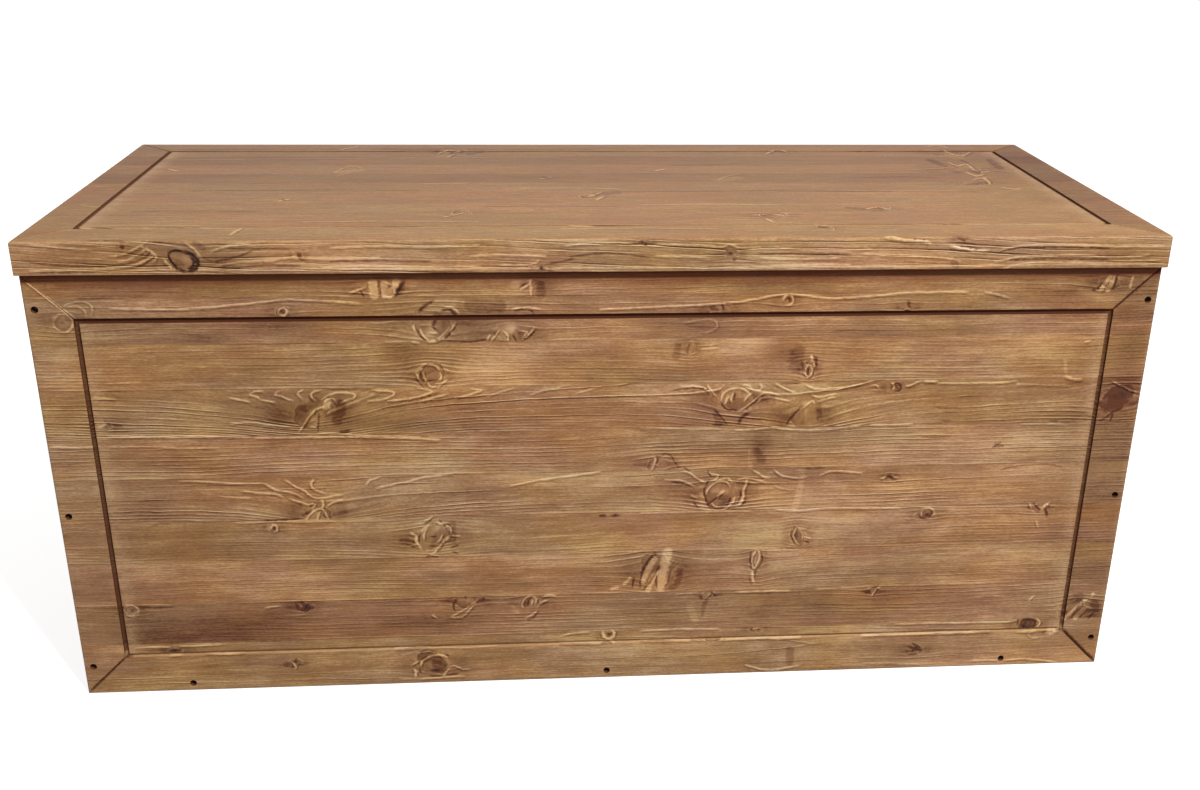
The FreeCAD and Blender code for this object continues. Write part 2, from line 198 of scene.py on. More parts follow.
pineLook = {
    "bark": shade(34, 20, 16), "dark": shade(88, 50, 30), "middle": shade(157, 116, 79),
    # the palest colour serves pale gouges and painted glints on the brightest strokes
    "light": shade(210, 171, 125), "gougeAndGlint": shade(240, 208, 172),
    "barkStep": 125.0, "darkStep": 60.0, "lightStep": 48.0,    # grey levels from the middle to each
    "warm": (1.025, 0.995, 0.86, 1.0), "cool": (0.975, 1.000, 1.125, 1.0),
    "rosy": (1.030, 0.976, 1.0, 1.0), "leafy": (0.976, 1.020, 1.0, 1.0),
    # colours of knot cracks, of the routed line (stain and painted shade), and of the painted shadow that the lid casts
    # on the front
    "knotLine": shade(66, 36, 21), "groove": shade(72, 34, 16), "lidShadowPaint": shade(95, 38, 16),
    # pale colour of wear on the arrises, which also paints a highlight where light catches them
    "wearAndHighlight": shade(192, 154, 116),
    # grey levels that each layer adds or takes
    "ridge": 42.0, "valley": 28.0, "patch": 84.0, "cloud": 66.0, "streak": 60.0, "fine": 64.0, "fleck": 58.0,
    "smudge": 58.0, "jointDark": 26.0, "jointLight": 24.0, "underMost": 30.0,
    "knotFill": 34.0, "knotSide": 22.0, "knotMottle": 70.0, "strokeLight": 46.0, "strokeDark": 40.0,
    "rim": 62.0, "rimShade": 52.0,
    # millimetres that rings wander, between the layers of a knot, and of a line's width
    "wander": 9.0, "tremble": 2.0, "layer": 2.4, "lineWidth": 0.72,
    # shares
    "crack": 0.9, "rubbedAndHighlit": 0.65, "endShade": 0.40, "under": 0.55, "roughness": 0.54, "specular": 0.13,
    "relief": 0.0004, "strokeRelief": 0.016,                   # metres, and for each grey level of a stroke
}
# noise of the grain: scales along, across and into the board, share of the stave's seed, shift, octaves, roughness
grainNoise = {
    "wander": (0.005, 0.012, 0.0, 1.0, 0.0, 1.0, 0.5), "tremble": (0.04, 0.08, 0.0, 1.0, 4.0, 2.0, 0.5),
    "alongLine": (0.020, 3.7, 0.0, 1.0, 9.0, 2.0, 0.5), "brushed": (0.0075, 0.024, 0.0, 1.0, 21.0, 2.0, 0.5),
    "streak": (0.009, 0.30, 0.30, 0.0, 0.0, 3.0, 0.6), "fine": (0.05, 0.80, 0.80, 0.0, 0.0, 3.0, 0.65),
    "fleck": (0.28, 1.0, 1.0, 0.0, 40.0, 2.0, 0.6), "patch": (0.006, 0.024, 0.02, 3.0, 0.0, 2.0, 0.5),
    "cloud": (0.022, 0.055, 0.05, 1.0, 0.0, 3.0, 0.6), "blush": (0.010, 0.025, 0.02, 2.0, 7.0, 2.0, 0.55),
    "rose": (0.006, 0.015, 0.01, 5.0, 11.0, 2.0, 0.55), "ragged": (0.10, 0.30, 0.0, 1.0, 2.0, 2.0, 0.5),
    "patchy": (0.16, 0.20, 0.0, 1.0, 6.0, 1.0, 0.5), "joint": (0.010, 1.0, 0.0, 0.0, 3.0, 2.0, 0.5),
}
# noise of a knot: scale, shift, octaves, roughness
knotNoise = {
    "lump": (0.8, 0.0, 1.0, 0.5), "jag": (2.4, 3.0, 2.0, 0.5), "broken": (0.9, 5.0, 2.0, 0.5),
    "sway": (1.1, 8.0, 2.0, 0.5), "mottle": (1.6, 11.0, 3.0, 0.6),
}
knotPush = {"push": 0.62, "soft": 0.55, "along": 0.30, "liftAlong": 0.030, "liftAcross": 0.30}


def knotFlow(nx, nz, radius, pull):
    # how far rings are pushed aside by a knot; nx and nz count knot radii along and across the grain
    far = nx * nx * knotPush["along"] + nz * nz + knotPush["soft"]
    lift = pull / (1.0 + nx * nx * knotPush["liftAlong"]) / (1.0 + nz * nz * knotPush["liftAcross"])
    return radius * (lift - nz * knotPush["push"] / far)


def pineMaterial(look):
    material, field, shader = newMaterial("stained_pine")

    def attribute(name):
        return field.node("ShaderNodeAttribute", {"attribute_name": name}, output="Vector").split()

    across, depth, along = attribute("ring")
    tone, spacing, contrast = attribute("stave")
    hue, seed, endGrain = attribute("staveMore")
    nx, nz, radius = attribute("knot")
    dark, rim, lively = attribute("looks")
    pull, crack, knotSeed = attribute("knotMore")
    taper, tilt, otherFlow = attribute("knotForm")
    smudge, recess, wearAndHighlight = attribute("surface")
    joint, lineStainAndShading, paintedLidShadow = attribute("trim")
    wideLevel, nearLevel, nextLevel = attribute("markLevel")

    def grain(key, rows=across):
        # noise drawn out along the board
        alongScale, rowScale, depthScale, seedShare, shift, octaves, roughness = grainNoise[key]
        deeper = depth * depthScale + seed * seedShare + shift
        return field.noise(field.vector(along * alongScale, rows * rowScale, deeper), octaves, roughness)

    # rings, pushed aside by knots and wandering a little along the board
    bent = across + knotFlow(nx, nz, radius, pull) + otherFlow
    bent = bent + (grain("wander") - 0.5) * look["wander"] + (grain("tremble") - 0.5) * look["tremble"]
    reach = (bent * bent + depth * depth) ** 0.5
    ringNumber = field.maths("FLOOR", reach / spacing)
    slope = (abs(bent) / reach).atLeast(0.10)
    # millimetres below the ring's line on the surface
    off = (0.5 - (reach / spacing - ringNumber)) * spacing / slope * field.maths("SIGN", bent)
    ringChance = field.node("ShaderNodeTexWhiteNoise", {"noise_dimensions": "1D"}, {"W": ringNumber + seed * 13.0})
    alongChance = grain("alongLine", ringNumber)
    brushed = grain("brushed").between(0.34, 0.64)

    # knot outline: distance from its edge in millimetres
    narrow = 1.0 - taper * field.node("ShaderNodeClamp", None, {0: nz, 1: -1.0, 2: 1.0}) * 0.8
    kx = (nx + tilt * nz) / narrow

    def knotGrain(key):
        scale, shift, octaves, roughness = knotNoise[key]
        return field.noise(field.vector(kx * scale, nz * scale, knotSeed + shift), octaves, roughness)

    slab = taper.between(0.1, 0.3)
    plain = (kx * kx + nz * nz) ** 0.5 + 0.001
    plain = plain + slab * (abs(kx).atLeast(abs(nz)) * 1.05 - plain)
    wayX, wayZ = kx / plain, nz / plain
    q = plain + ((knotGrain("lump") - 0.5) * 0.8 + (knotGrain("jag") - 0.5) * 0.5) * plain.between(0.0, 0.8)
    edge = (q - 1.0) * radius
    near = 1.0 / (1.0 + (plain / 2.6) ** 4.0)
    inKnot = 1 - edge.between(-0.6, 0.6)

    # brushed lines: a light ridge over a dark valley, turned so that the valley always lies below: partly stain in the
    # valleys and paler sanded ridges, partly painted light and shade of a lamp above
    chance = (ringChance * 0.8 + alongChance * 1.4 - 0.66).between(0.0, 0.8)
    strength = contrast * chance * (0.22 + brushed * 0.90) + near * (alongChance * 1.6 - 0.25).ramp(0.0, 1.0) * 0.45
    strength = strength * (1 - inKnot)
    wide = look["lineWidth"] + near * 0.35
    ridge = (off / wide).bump(-0.6, 1.0) * strength
    valley = (off / wide).bump(0.9, 1.25) * strength

    # fibres and flecks along the grain, and stain
    streak, fine, fleck = [grain(key, bent) - 0.5 for key in ("streak", "fine", "fleck")]
    patch, cloud = grain("patch") - 0.5, grain("cloud") - 0.5
    smudged = (smudge * (0.95 + cloud * 1.6 + streak * 0.8)).ramp(0.0, 1.2)
    level = tone + (patch * look["patch"] + cloud * look["cloud"]) * lively - smudged * look["smudge"]
    fibres = streak * look["streak"] * lively + fine * look["fine"] + fleck * look["fleck"]
    level = level + fibres * (1 - inKnot * 0.5) + ridge * look["ridge"] - valley * look["valley"]

    # marks drawn from the photograph: wide ones, and the nearest two thin ones with a shadow below each light one
    ragged = grain("ragged") - 0.5
    patchy = grain("patchy").between(0.25, 0.60) * 0.5 + 0.55

    def strokeReach(place, drop):
        # how far a point is from a stroke that is moved down, in half widths
        d, t, half = place
        d = d + ragged * 0.9 + drop
        past = (abs(t) - half).atLeast(0.0)
        return (d * d + past * past) ** 0.5

    wideMask = 1 - (strokeReach(attribute("markWide"), 0.0) + fleck * 0.5).between(0.55, 1.15)
    lit, cut, under = 0.0, 0.0, 0.0
    for strokeName, strokeLevel in (("markNear", nearLevel), ("markNext", nextLevel)):
        place = attribute(strokeName)
        mask = 1 - strokeReach(place, 0.0).between(0.0, 1.0)
        below = 1 - strokeReach(place, 1.15).between(0.0, 0.85)
        up, down = strokeLevel.atLeast(0.0), (-strokeLevel).atLeast(0.0)
        lit, cut, under = (mask * up).atLeast(lit), (mask * down).atLeast(cut), (below * up).atLeast(under)
    under = field.maths("MINIMUM", under * look["under"], look["underMost"]) * (1 - lit.ramp(4.0, 20.0))
    level = level + wideMask * wideLevel + lit * patchy - (cut + under) * patchy

    # joints between staves
    jointChance = grain("joint", seed).between(0.42, 0.60)
    level = level - joint.bump(-0.6, 0.9) * (0.25 + jointChance * 0.75) * look["jointDark"]
    level = level + joint.bump(0.9, 0.9) * jointChance * look["jointLight"]

    # knots: fill, a darker side, broken rims and strokes beside them, a crack
    breaks, mottle, sway = knotGrain("broken"), knotGrain("mottle") - 0.5, knotGrain("sway") - 0.5
    sine, cosine = (field.maths(name, knotSeed * 2.1) for name in ("SINE", "COSINE"))
    shady = wayX * cosine + wayZ * sine
    layerPlace = q * radius / look["layer"] + knotSeed
    layerNumber = field.maths("FLOOR", layerPlace)
    layerPlace = layerPlace - layerNumber

    def layerStroke(shiftX, shiftZ):
        place = field.vector(wayX * 1.1 + shiftX, wayZ * 1.1 + shiftZ, layerNumber * 2.3)
        return field.noise(place, 1.0).between(0.47, 0.62)

    zone = q.between(0.20, 0.60) * (1 - q.between(1.15, 1.75)) * rim
    strokes = layerPlace.bump(0.30, 0.32) * layerStroke(knotSeed, 0.0) * look["strokeLight"]
    strokes = strokes - layerPlace.bump(0.75, 0.30) * layerStroke(0.0, knotSeed) * look["strokeDark"]
    fill = shady.between(0.0, 0.5) * look["knotSide"] * (1 - slab)
    fill = fill + dark * look["knotFill"] + mottle * look["knotMottle"]
    rimLine = edge.bump(0.7, 1.2) * (0.10 + breaks.between(0.40, 0.58) * 0.90) * rim
    rimShade = edge.bump(2.6, 1.1) * wayX * wayX * (0.25 + 0.75 * breaks.between(0.6, 0.4))
    rimShade = (edge.bump(-0.9, 1.0) * 0.75 + rimShade) * rim
    slit = (nx * sine - nz * cosine + sway * 0.9) * radius
    split = slit.bump(0.0, 0.7) * inKnot * crack * breaks.between(0.36, 0.50) * (1 - slab)
    split = split + field.maths("FRACT", kx * 0.8 + sway * 0.5 + knotSeed).bump(0.5, 0.10) * inKnot * slab
    glint = slit.bump(1.2, 0.8) * inKnot * crack * breaks.between(0.44, 0.56) * (1 - slab)
    level = level - inKnot * fill + zone * strokes
    level = level + (rimLine + glint * 0.7) * look["rim"] - rimShade * look["rimShade"]

    # grey levels as colours
    colour = level.ramp(-look["darkStep"], 0.0).mixed(look["dark"], look["middle"])
    colour = level.ramp(-look["barkStep"], -look["darkStep"] * 1.2).mixed(look["bark"], colour)
    colour = level.ramp(0.0, look["lightStep"]).mixed(colour, look["light"])
    # the brightest levels turn the palest colour: gouges, and painted glints
    colour = level.ramp(look["lightStep"] * 1.15, look["lightStep"] * 2.3).mixed(colour, look["gougeAndGlint"])
    warmth = (grain("blush") + hue + mottle * inKnot * 0.4).between(0.30, 0.70)
    redness = grain("rose").between(0.38, 0.62)
    colour = colour.tinted(warmth.mixed(look["cool"], look["warm"]))
    colour = colour.tinted(redness.mixed(look["leafy"], look["rosy"]))
    colour = (split * look["crack"]).mixed(colour, look["knotLine"])

    # wear with a painted highlight on the arrises, end grain, the routed line's stain with painted shade and light, and
    # the painted shadow under the lid
    # arrises paler: wear, and a painted highlight where light catches the edge
    rubbedAndHighlit = (wearAndHighlight * (0.55 + cloud * 1.6 + streak * 1.2 + fleck * 1.5)).ramp(0.05, 0.9)
    colour = (rubbedAndHighlit * look["rubbedAndHighlit"]).mixed(colour, look["wearAndHighlight"])
    colour = (endGrain * look["endShade"]).mixed(colour, look["dark"])
    # routed line, scores and recesses painted darker: stain of the cut end grain, and painted shade in the hollows
    colour = (recess * lineStainAndShading.atLeast(0.0)).mixed(colour, look["groove"])
    # a negative share paints the line paler instead: a painted highlight on its lit lower wall
    colour = (recess * (-lineStainAndShading).atLeast(0.0)).mixed(colour, look["light"])
    # painted shadow: a dark band along the top of the front face where the lid casts its shadow, painted over the real
    # cast shadow
    colour = paintedLidShadow.mixed(colour, look["lidShadowPaint"])
    feed(shader, "Base Color", colour)

    feed(shader, "Roughness", look["roughness"] + valley * 0.10 - ridge * 0.06 + cloud * 0.20 + recess * 0.2)
    height = ridge * 0.9 - valley * 0.8 + streak * 1.0 + fine * 0.8 + rimLine * 0.8 - rimShade * 0.6 - split * 1.2
    height = height + (lit - cut) * look["strokeRelief"]
    feed(shader, "Normal", field.node("ShaderNodeBump", None,
                                      {"Strength": 1.0, "Distance": look["relief"], "Height": height}))
    shader.inputs["Specular IOR Level"].default_value = look["specular"]
    return material


pine = pineMaterial(pineLook)
print("pine made")


# Cutters for the boards: routed line, scored mitres, screw recesses, seats for the hinge leaves

# shares below: how far each routed run, scored mitre and screw recess is painted darker, partly stain of the cut end
# grain and partly painted shade; a negative share paints it paler, a painted highlight
routed = {"inset": 42.0, "width": 4.8, "depth": 2.8, "noseSteps": 8, "cornerSteps": 6, "over": 3.0,
          "stain": (0.85, 0.85, 0.30, 0.60)}           # of the left, right, lower and upper run
scored = {"width": 2.0, "depth": 1.2, "over": 3.0, "stain": (0.85, 0.85, 0.85, 0.85)}
sunkRecess = {"radius": 3.2, "depth": 6.3, "sides": 24, "over": 3.0, "stain": 0.85}
leafSeat = {"fit": 0.1, "depth": 2.0, "over": 3.0}


def meshObject(name, bm):
    data = bpy.data.meshes.new(name)
    bmesh.ops.recalc_face_normals(bm, faces=bm.faces)
    bm.to_mesh(data)
    bm.free()
    made = bpy.data.objects.new(name, data)
    bpy.context.collection.objects.link(made)
    return made


def bakeModifiers(made, name):
    # the evaluated shape as a plain mesh, without modifiers
    bpy.context.view_layer.update()
    plain = bpy.data.meshes.new_from_object(made.evaluated_get(bpy.context.evaluated_depsgraph_get()))
    made.modifiers.clear()
    old, made.data = made.data, plain
    bpy.data.meshes.remove(old)
    plain.name = name
    return plain


def addBox(bm, low, high):
    for vert in bmesh.ops.create_cube(bm, size=1.0)["verts"]:
        vert.co = Vector([(low[i] + high[i]) / 2 + vert.co[i] * (high[i] - low[i]) for i in range(3)]) / metre


def addPrism(bm, first, last):
    # a closed solid between two rings of points
    first, last = ([bm.verts.new(point) for point in ring] for ring in (first, last))
    bm.faces.new(first)
    bm.faces.new(last[::-1])
    for i in range(len(first)):
        j = (i + 1) % len(first)
        bm.faces.new([first[i], last[i], last[j], first[j]])


def facePoint(board, u, v, w):
    # u along the face, v across it, w outwards from it, all in millimetres
    point = [0.0, 0.0, 0.0]
    point[board["along"]], point[board["across"]] = u, v
    point[board["depth"]] = board["facePlane"] + board["out"] * w
    return Vector(point) / metre


def routedCutter(board, uLow, uHigh, vLow, vHigh):
    radius, nose, steps = routed["width"] / 2, routed["noseSteps"], routed["cornerSteps"]
    floor = radius - routed["depth"]
    half = [(0.0, -routed["depth"])]
    half += [(radius * math.sin(math.pi / 2 * i / nose), floor - radius * math.cos(math.pi / 2 * i / nose))
             for i in range(1, nose + 1)]
    half.append((radius, routed["over"]))
    corners = [(uLow, vLow, 180.0), (uHigh, vLow, 270.0), (uHigh, vHigh, 0.0), (uLow, vHigh, 90.0)]
    bm = bmesh.new()
    stations = []
    for u, v, start in corners:
        inner = (1 if start in (180.0, 90.0) else -1, 1 if start in (180.0, 270.0) else -1)
        inside = [bm.verts.new(facePoint(board, u + inner[0] * r, v + inner[1] * r, w)) for r, w in half[1:]]
        lowest = bm.verts.new(facePoint(board, u, v, half[0][1]))
        for step in range(steps + 1):
            angle = math.radians(start + 90.0 * step / steps)
            out = [bm.verts.new(facePoint(board, u + math.cos(angle) * r, v + math.sin(angle) * r, w))
                   for r, w in half[1:]]
            stations.append((inside, lowest, out))
    for index, (inside, lowest, out) in enumerate(stations):
        nextInside, nextLowest, nextOut = stations[(index + 1) % len(stations)]
        same = lowest is nextLowest
        outRow, nextRow = [lowest] + out, [nextLowest] + nextOut
        for i in range(len(out)):
            quad = [outRow[i], nextRow[i], nextRow[i + 1], outRow[i + 1]]
            bm.faces.new(quad[1:] if same and i == 0 else quad)
        if same:
            bm.faces.new([out[-1], nextOut[-1], inside[-1]])
        else:
            inRow, nextInRow = [lowest] + inside, [nextLowest] + nextInside
            for i in range(len(inside)):
                bm.faces.new([inRow[i], inRow[i + 1], nextInRow[i + 1], nextInRow[i]])
            bm.faces.new([out[-1], nextOut[-1], nextInside[-1], inside[-1]])
    return meshObject("routed_cutter", bm)


def scoredCutter(board, inner, outer):
    bm = bmesh.new()
    over = scored["over"]
    spread = scored["width"] / 2 * (1 + over / scored["depth"])
    for (u0, v0), (u1, v1) in zip(inner, outer):
        run = Vector((u1 - u0, v1 - v0)).normalized()
        side = Vector((-run.y, run.x)) * spread
        far = run * (scored["width"] + over)
        addPrism(bm, *([facePoint(board, u, v, -scored["depth"]), facePoint(board, u + side.x, v + side.y, over),
                        facePoint(board, u - side.x, v - side.y, over)]
                       for u, v in ((u0, v0), (u1 + far.x, v1 + far.y))))
    return meshObject("scored_cutter", bm)


def recessCutter(board, places):
    bm = bmesh.new()
    radius = sunkRecess["radius"]
    angles = [2 * math.pi * i / sunkRecess["sides"] for i in range(sunkRecess["sides"])]
    for u, v in places:
        addPrism(bm, *([facePoint(board, u + radius * math.cos(angle), v + radius * math.sin(angle), w)
                        for angle in angles] for w in (-sunkRecess["depth"], sunkRecess["over"])))
    return meshObject("recess_cutter", bm)


def seatCutter(board):
    bm = bmesh.new()
    fit, over = leafSeat["fit"], leafSeat["over"]
    inCase = board["seats"] == "case"
    edge, way = (board["high"][2], 1) if inCase else (board["low"][2], -1)
    lowZ, highZ = sorted((edge - way * leafSeat["depth"], edge + way * over))
    for side in ("left", "middle", "right"):
        low, high = (Vector(corner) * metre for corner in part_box("hinge_%s_leaf_%s" % (board["seats"], side)))
        addBox(bm, (low.x - fit, low.y - fit, lowZ), (high.x + fit, board["high"][1] + over, highZ))
    return meshObject("seat_cutter", bm)


def screwPlaces(node, facing):
    # head centres of the screws in a CAD node, and the way that each one faces
    bm = bmesh.new()
    bm.from_mesh(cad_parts[node].data)
    bmesh.ops.remove_doubles(bm, verts=bm.verts, dist=1e-6)
    left, places = set(bm.verts), []
    while left:
        island, queue = [], [left.pop()]
        while queue:
            vert = queue.pop()
            island.append(vert.co * metre)
            for link in vert.link_edges:
                other = link.other_vert(vert)
                if other in left:
                    left.remove(other)
                    queue.append(other)
        points = np.array(island)
        low, high = points.min(0), points.max(0)
        middle = (low + high) / 2
        way = Vector(facing(middle))
        top = [high[i] if way[i] > 0 else low[i] if way[i] < 0 else middle[i] for i in range(3)]
        places.append((Vector(top), way))
    bm.free()
    return sorted(places, key=lambda place: tuple(round(v, 2) for v in place[0]))


# Boards: what each is cut from. frameTone and the stain and painted shading of the routed runs go left, right, lower,
# upper; the stain and painted shading of the scored mitres go from the lower left corner round; looks of edge and face
# are grey levels and warmth

boards = {
    "front_panel": {
        "body": "case", "along": "x", "across": "z", "depth": "y", "out": -1, "framed": True, "eased": 2.5,
        "grid": (8.0, 7.0), "seed": 11, "screws": ("front_screws", (0, -1, 0)),
        "runStainAndShading": (0.85, 0.72, -0.25, 1.0), "mitreStainAndShading": (0.6, 0.9, 0.7, -0.3),
        "drift": (6.0, -2.0), "frameTone": (5.0, -13.0, 0.0, 0.0),
        "seams": [54.0, 96.5, 141.0, 184.0, 227.0, 268.5, 313.7, 356.0, 398.0]},
    "back_panel": {
        "body": "case", "along": "x", "across": "z", "depth": "y", "out": 1, "framed": False, "eased": 2.5,
        "grid": (14.0, 11.0), "seed": 23, "screws": ("back_screws", (0, 1, 0)), "shift": 31.0, "seats": "case"},
    "left_panel": {
        "body": "case", "along": "y", "across": "z", "depth": "x", "out": -1, "framed": True, "eased": 0.0,
        "grid": (11.0, 8.0), "seed": 35, "screws": ("left_end_screws", (-1, 0, 0)), "shift": 26.0},
    "right_panel": {
        "body": "case", "along": "y", "across": "z", "depth": "x", "out": 1, "framed": True, "eased": 0.0,
        "grid": (11.0, 8.0), "seed": 47, "screws": ("right_end_screws", (1, 0, 0)), "shift": 38.0},
    "bottom_panel": {
        "body": "case", "along": "x", "across": "y", "depth": "z", "out": 1, "framed": False, "eased": 0.0,
        "grid": (18.0, 14.0), "seed": 59, "shift": 20.0},
    "lid_panel": {
        "body": "lid", "along": "x", "across": "y", "depth": "z", "out": 1, "framed": True, "eased": 2.5,
        "lowEased": 1.0, "grid": (8.0, 8.0), "edgeRows": 3.75, "seed": 71, "seats": "lid",
        "runStainAndShading": (0.70, 0.25, -0.35, 0.45), "mitreStainAndShading": (-0.2, -0.2, 0.4, 0.4),
        "lively": 0.4, "frameTone": (-6.0, -20.0, 0.0, 0.0),
        "edgeGrain": (6.0, 2.1),                       # ring spacing and contrast
        "edgeLook": (6.0, -0.10), "faceLook": (-5.0, 0.27),
        "seams": [-165.0, -122.0, -80.0, -37.75, 4.5, 47.0, 90.25, 133.0]},
    "lid_batten_left": {
        "body": "lid", "along": "y", "across": "x", "depth": "z", "out": -1, "framed": False, "eased": 3.0,
        "grid": (14.0, 9.0), "seed": 83, "seams": []},
    "lid_batten_right": {
        "body": "lid", "along": "y", "across": "x", "depth": "z", "out": -1, "framed": False, "eased": 3.0,
        "grid": (14.0, 9.0), "seed": 95, "seams": []},
}
boardMake = {"staveWidth": 43.0, "leastStave": 8.0, "easedSteps": 4, "same": 0.01, "weld": 1e-6, "sharp": 32.0}


def seamsEvery(low, high, shift):
    # joint lines of staves of one width
    width, least = boardMake["staveWidth"], boardMake["leastStave"]
    places = [low + shift + width * i for i in range(int((high - low) / width) + 1)]
    return [place for place in places if low + least < place < high - least]


def readyBoard(board, low, high):
    board["low"], board["high"] = list(low * metre), list(high * metre)
    for key in ("along", "across", "depth"):
        board[key] = axisIndex[board[key]]
    board["facePlane"] = board["high" if board["out"] > 0 else "low"][board["depth"]]
    v = board["across"]
    if "seams" not in board:
        board["seams"] = seamsEvery(board["low"][v], board["high"][v], board["shift"])


def easedEdges(name, board, bm):
    # the edges that are rounded, with their radius; the hinge edge of the lid stays sharp
    w, same = board["depth"], boardMake["same"]
    upper, lower = [], []
    for edge in bm.edges:
        ends = [vert.co * metre for vert in edge.verts]
        deep = [abs(end[w] - board["facePlane"]) for end in ends]
        onFace = all(value < same for value in deep)
        onRear = all(abs(value - board["high"][w] + board["low"][w]) < same for value in deep)
        atHinge = all(abs(end[1] - board["high"][1]) < same for end in ends)
        if onRear and not atHinge:
            lower.append(edge)
        elif not onRear and (onFace or name == "lid_panel"):
            upper.append(edge)
    return [(board[key], edges) for key, edges in (("lowEased", lower), ("eased", upper)) if board.get(key)]


def sliced(bm, index, positions):
    normal = Vector([1.0 if i == index else 0.0 for i in range(3)])
    for position in positions:
        bmesh.ops.bisect_plane(bm, geom=bm.verts[:] + bm.edges[:] + bm.faces[:], dist=boardMake["weld"],
                               plane_co=normal * position / metre, plane_no=normal)


def gridLines(low, high, seams, step):
    # seams, and even steps between them
    marks = [low] + sorted(seams) + [high]
    lines = []
    for start, end in zip(marks, marks[1:]):
        count = max(1, round((end - start) / step))
        lines += [start + (end - start) * i / count for i in range(1 if start == low else 0, count)]
    return lines


def boardCutters(board):
    low, high, u, v = board["low"], board["high"], board["along"], board["across"]
    cutters = []
    if board["framed"]:
        inner, outer = ([(low[u] + inset, low[v] + inset), (high[u] - inset, low[v] + inset),
                         (high[u] - inset, high[v] - inset), (low[u] + inset, high[v] - inset)]
                        for inset in (routed["inset"], 0.0))
        cutters.append(routedCutter(board, inner[0][0], inner[1][0], inner[0][1], inner[2][1]))
        cutters.append(scoredCutter(board, inner, outer))
    if "screws" in board:
        node, way = board["screws"]
        heads = screwPlaces(node, lambda middle: way)
        cutters.append(recessCutter(board, [(place[u], place[v]) for place, facing in heads]))
    if "seats" in board:
        cutters.append(seatCutter(board))
    return cutters


def boardMesh(name, board):
    low, high = board["low"], board["high"]
    bm = bmesh.new()
    addBox(bm, low, high)
    for radius, edges in easedEdges(name, board, bm):
        bmesh.ops.bevel(bm, geom=[edge for edge in edges if edge.is_valid], offset=radius / metre,
                        segments=boardMake["easedSteps"], profile=0.5, affect="EDGES", clamp_overlap=True)
    made = meshObject(name + "_pine", bm)
    cutters = boardCutters(board)
    for cutter in cutters:
        cut = made.modifiers.new("cut", "BOOLEAN")
        cut.operation, cut.solver, cut.object = "DIFFERENCE", "EXACT", cutter
    plain = bakeModifiers(made, name + "_pine")
    for cutter in cutters:
        data = cutter.data
        bpy.data.objects.remove(cutter)
        bpy.data.meshes.remove(data)
    bm = bmesh.new()
    bm.from_mesh(plain)
    u, v, w = board["along"], board["across"], board["depth"]
    sliced(bm, v, gridLines(low[v], high[v], board["seams"], board["grid"][1]))
    sliced(bm, u, gridLines(low[u], high[u], [], board["grid"][0]))
    if "edgeRows" in board:
        sliced(bm, w, gridLines(low[w], high[w], [], board["edgeRows"]))
    bmesh.ops.remove_doubles(bm, verts=bm.verts, dist=boardMake["weld"])
    for marks, axis, side, pixel, share in boardMarks.get(name, []):
        finerUnderMarks(bm, marks, axis, board[side][axisIndex[axis]], pixel, share)
    bm.to_mesh(plain)
    bm.free()
    return made


def finerUnderMarks(bm, marks, axis, plane, pixel, share):
    # smaller faces near the drawn marks, so that each face has its own nearest line
    segments = markSegments(marks, axis, plane, pixel, share)["thin"]
    faces = [face for face in bm.faces
             if abs(face.calc_center_median()[axisIndex[axis]] * metre - plane) < markLook["onPlane"]]
    middles = np.array([face.calc_center_median()[:] for face in faces]) * metre
    away = nearestSegments(middles[:, planeAxes[axis]], segments)[1]
    edges = {edge for face, gap in zip(faces, away[:, 0]) if gap < markLook["finer"] for edge in face.edges}
    bmesh.ops.subdivide_edges(bm, edges=list(edges), cuts=markLook["cuts"], use_grid_fill=True)


# Wood figure: staves, rings and knots of each board

# picture pixel of the middle, half sizes along and across, and a kind
frontKnots = [
    (282, 312, 6, 6, "drawn"), (63, 322, 10, 9, "drawn"), (432, 326, 19, 16, "drawn"), (511, 333, 14, 11, "drawn"),
    (719, 310, 9, 6, "drawn"), (788, 300, 6, 6, "drawn"), (906, 308, 5, 4, "drawn"), (380, 289, 13, 9, "drawn"),
    (533, 283, 5, 4, "drawn"), (1110, 282, 9, 7, "drawn"), (430, 374, 11, 11, "drawnDark"),
    (809, 370, 5, 9, "drawn"), (690, 349, 4, 6, "drawn"), (310, 412, 17, 15, "drawnTip"),
    (736, 398, 17, 14, "drawn"), (805, 418, 12, 12, "drawnTip"), (897, 387, 8, 5, "drawn"),
    (657, 464, 9, 8, "drawn"), (889, 477, 4, 4, "drawn"), (719, 493, 15, 14, "drawn"),
    (318, 513, 13, 9, "drawnTip"), (273, 528, 5, 4, "drawn"), (433, 536, 15, 14, "drawn"),
    (798, 536, 6, 10, "drawnDark"), (925, 514, 8, 5, "drawnDark"), (1040, 508, 6, 5, "drawn"),
    (657, 572, 15, 18, "drawn"), (756, 562, 5, 10, "drawn"), (708, 594, 5, 4, "drawn"), (873, 591, 5, 4, "drawn"),
    (130, 610, 7, 5, "drawn"), (302, 606, 7, 6, "drawnDark"), (466, 601, 10, 7, "drawn"), (529, 602, 9, 6, "drawn"),
    (433, 664, 15, 11, "drawnDark"), (608, 634, 5, 4, "drawn"), (756, 629, 6, 3, "drawn"),
    (1027, 624, 9, 6, "drawnDark"), (915, 649, 7, 5, "drawn"), (295, 663, 6, 5, "drawn"), (177, 650, 6, 5, "drawn"),
    (1076, 611, 9, 12, "drawn"), (1118, 400, 16, 14, "drawn"), (103, 427, 7, 4, "drawn"), (1052, 631, 5, 3, "chip"),
]
lidFrontKnots = [
    (122, 247, 3, 2.5, "drawn"), (182, 261, 15, 10, "bark"), (298, 255, 4, 4, "drawn"), (541, 269, 5, 4, "drawn"),
    (644, 242, 5, 3, "drawn"), (732, 254, 6, 5, "drawn"), (962, 237, 6, 4, "drawn"),
]
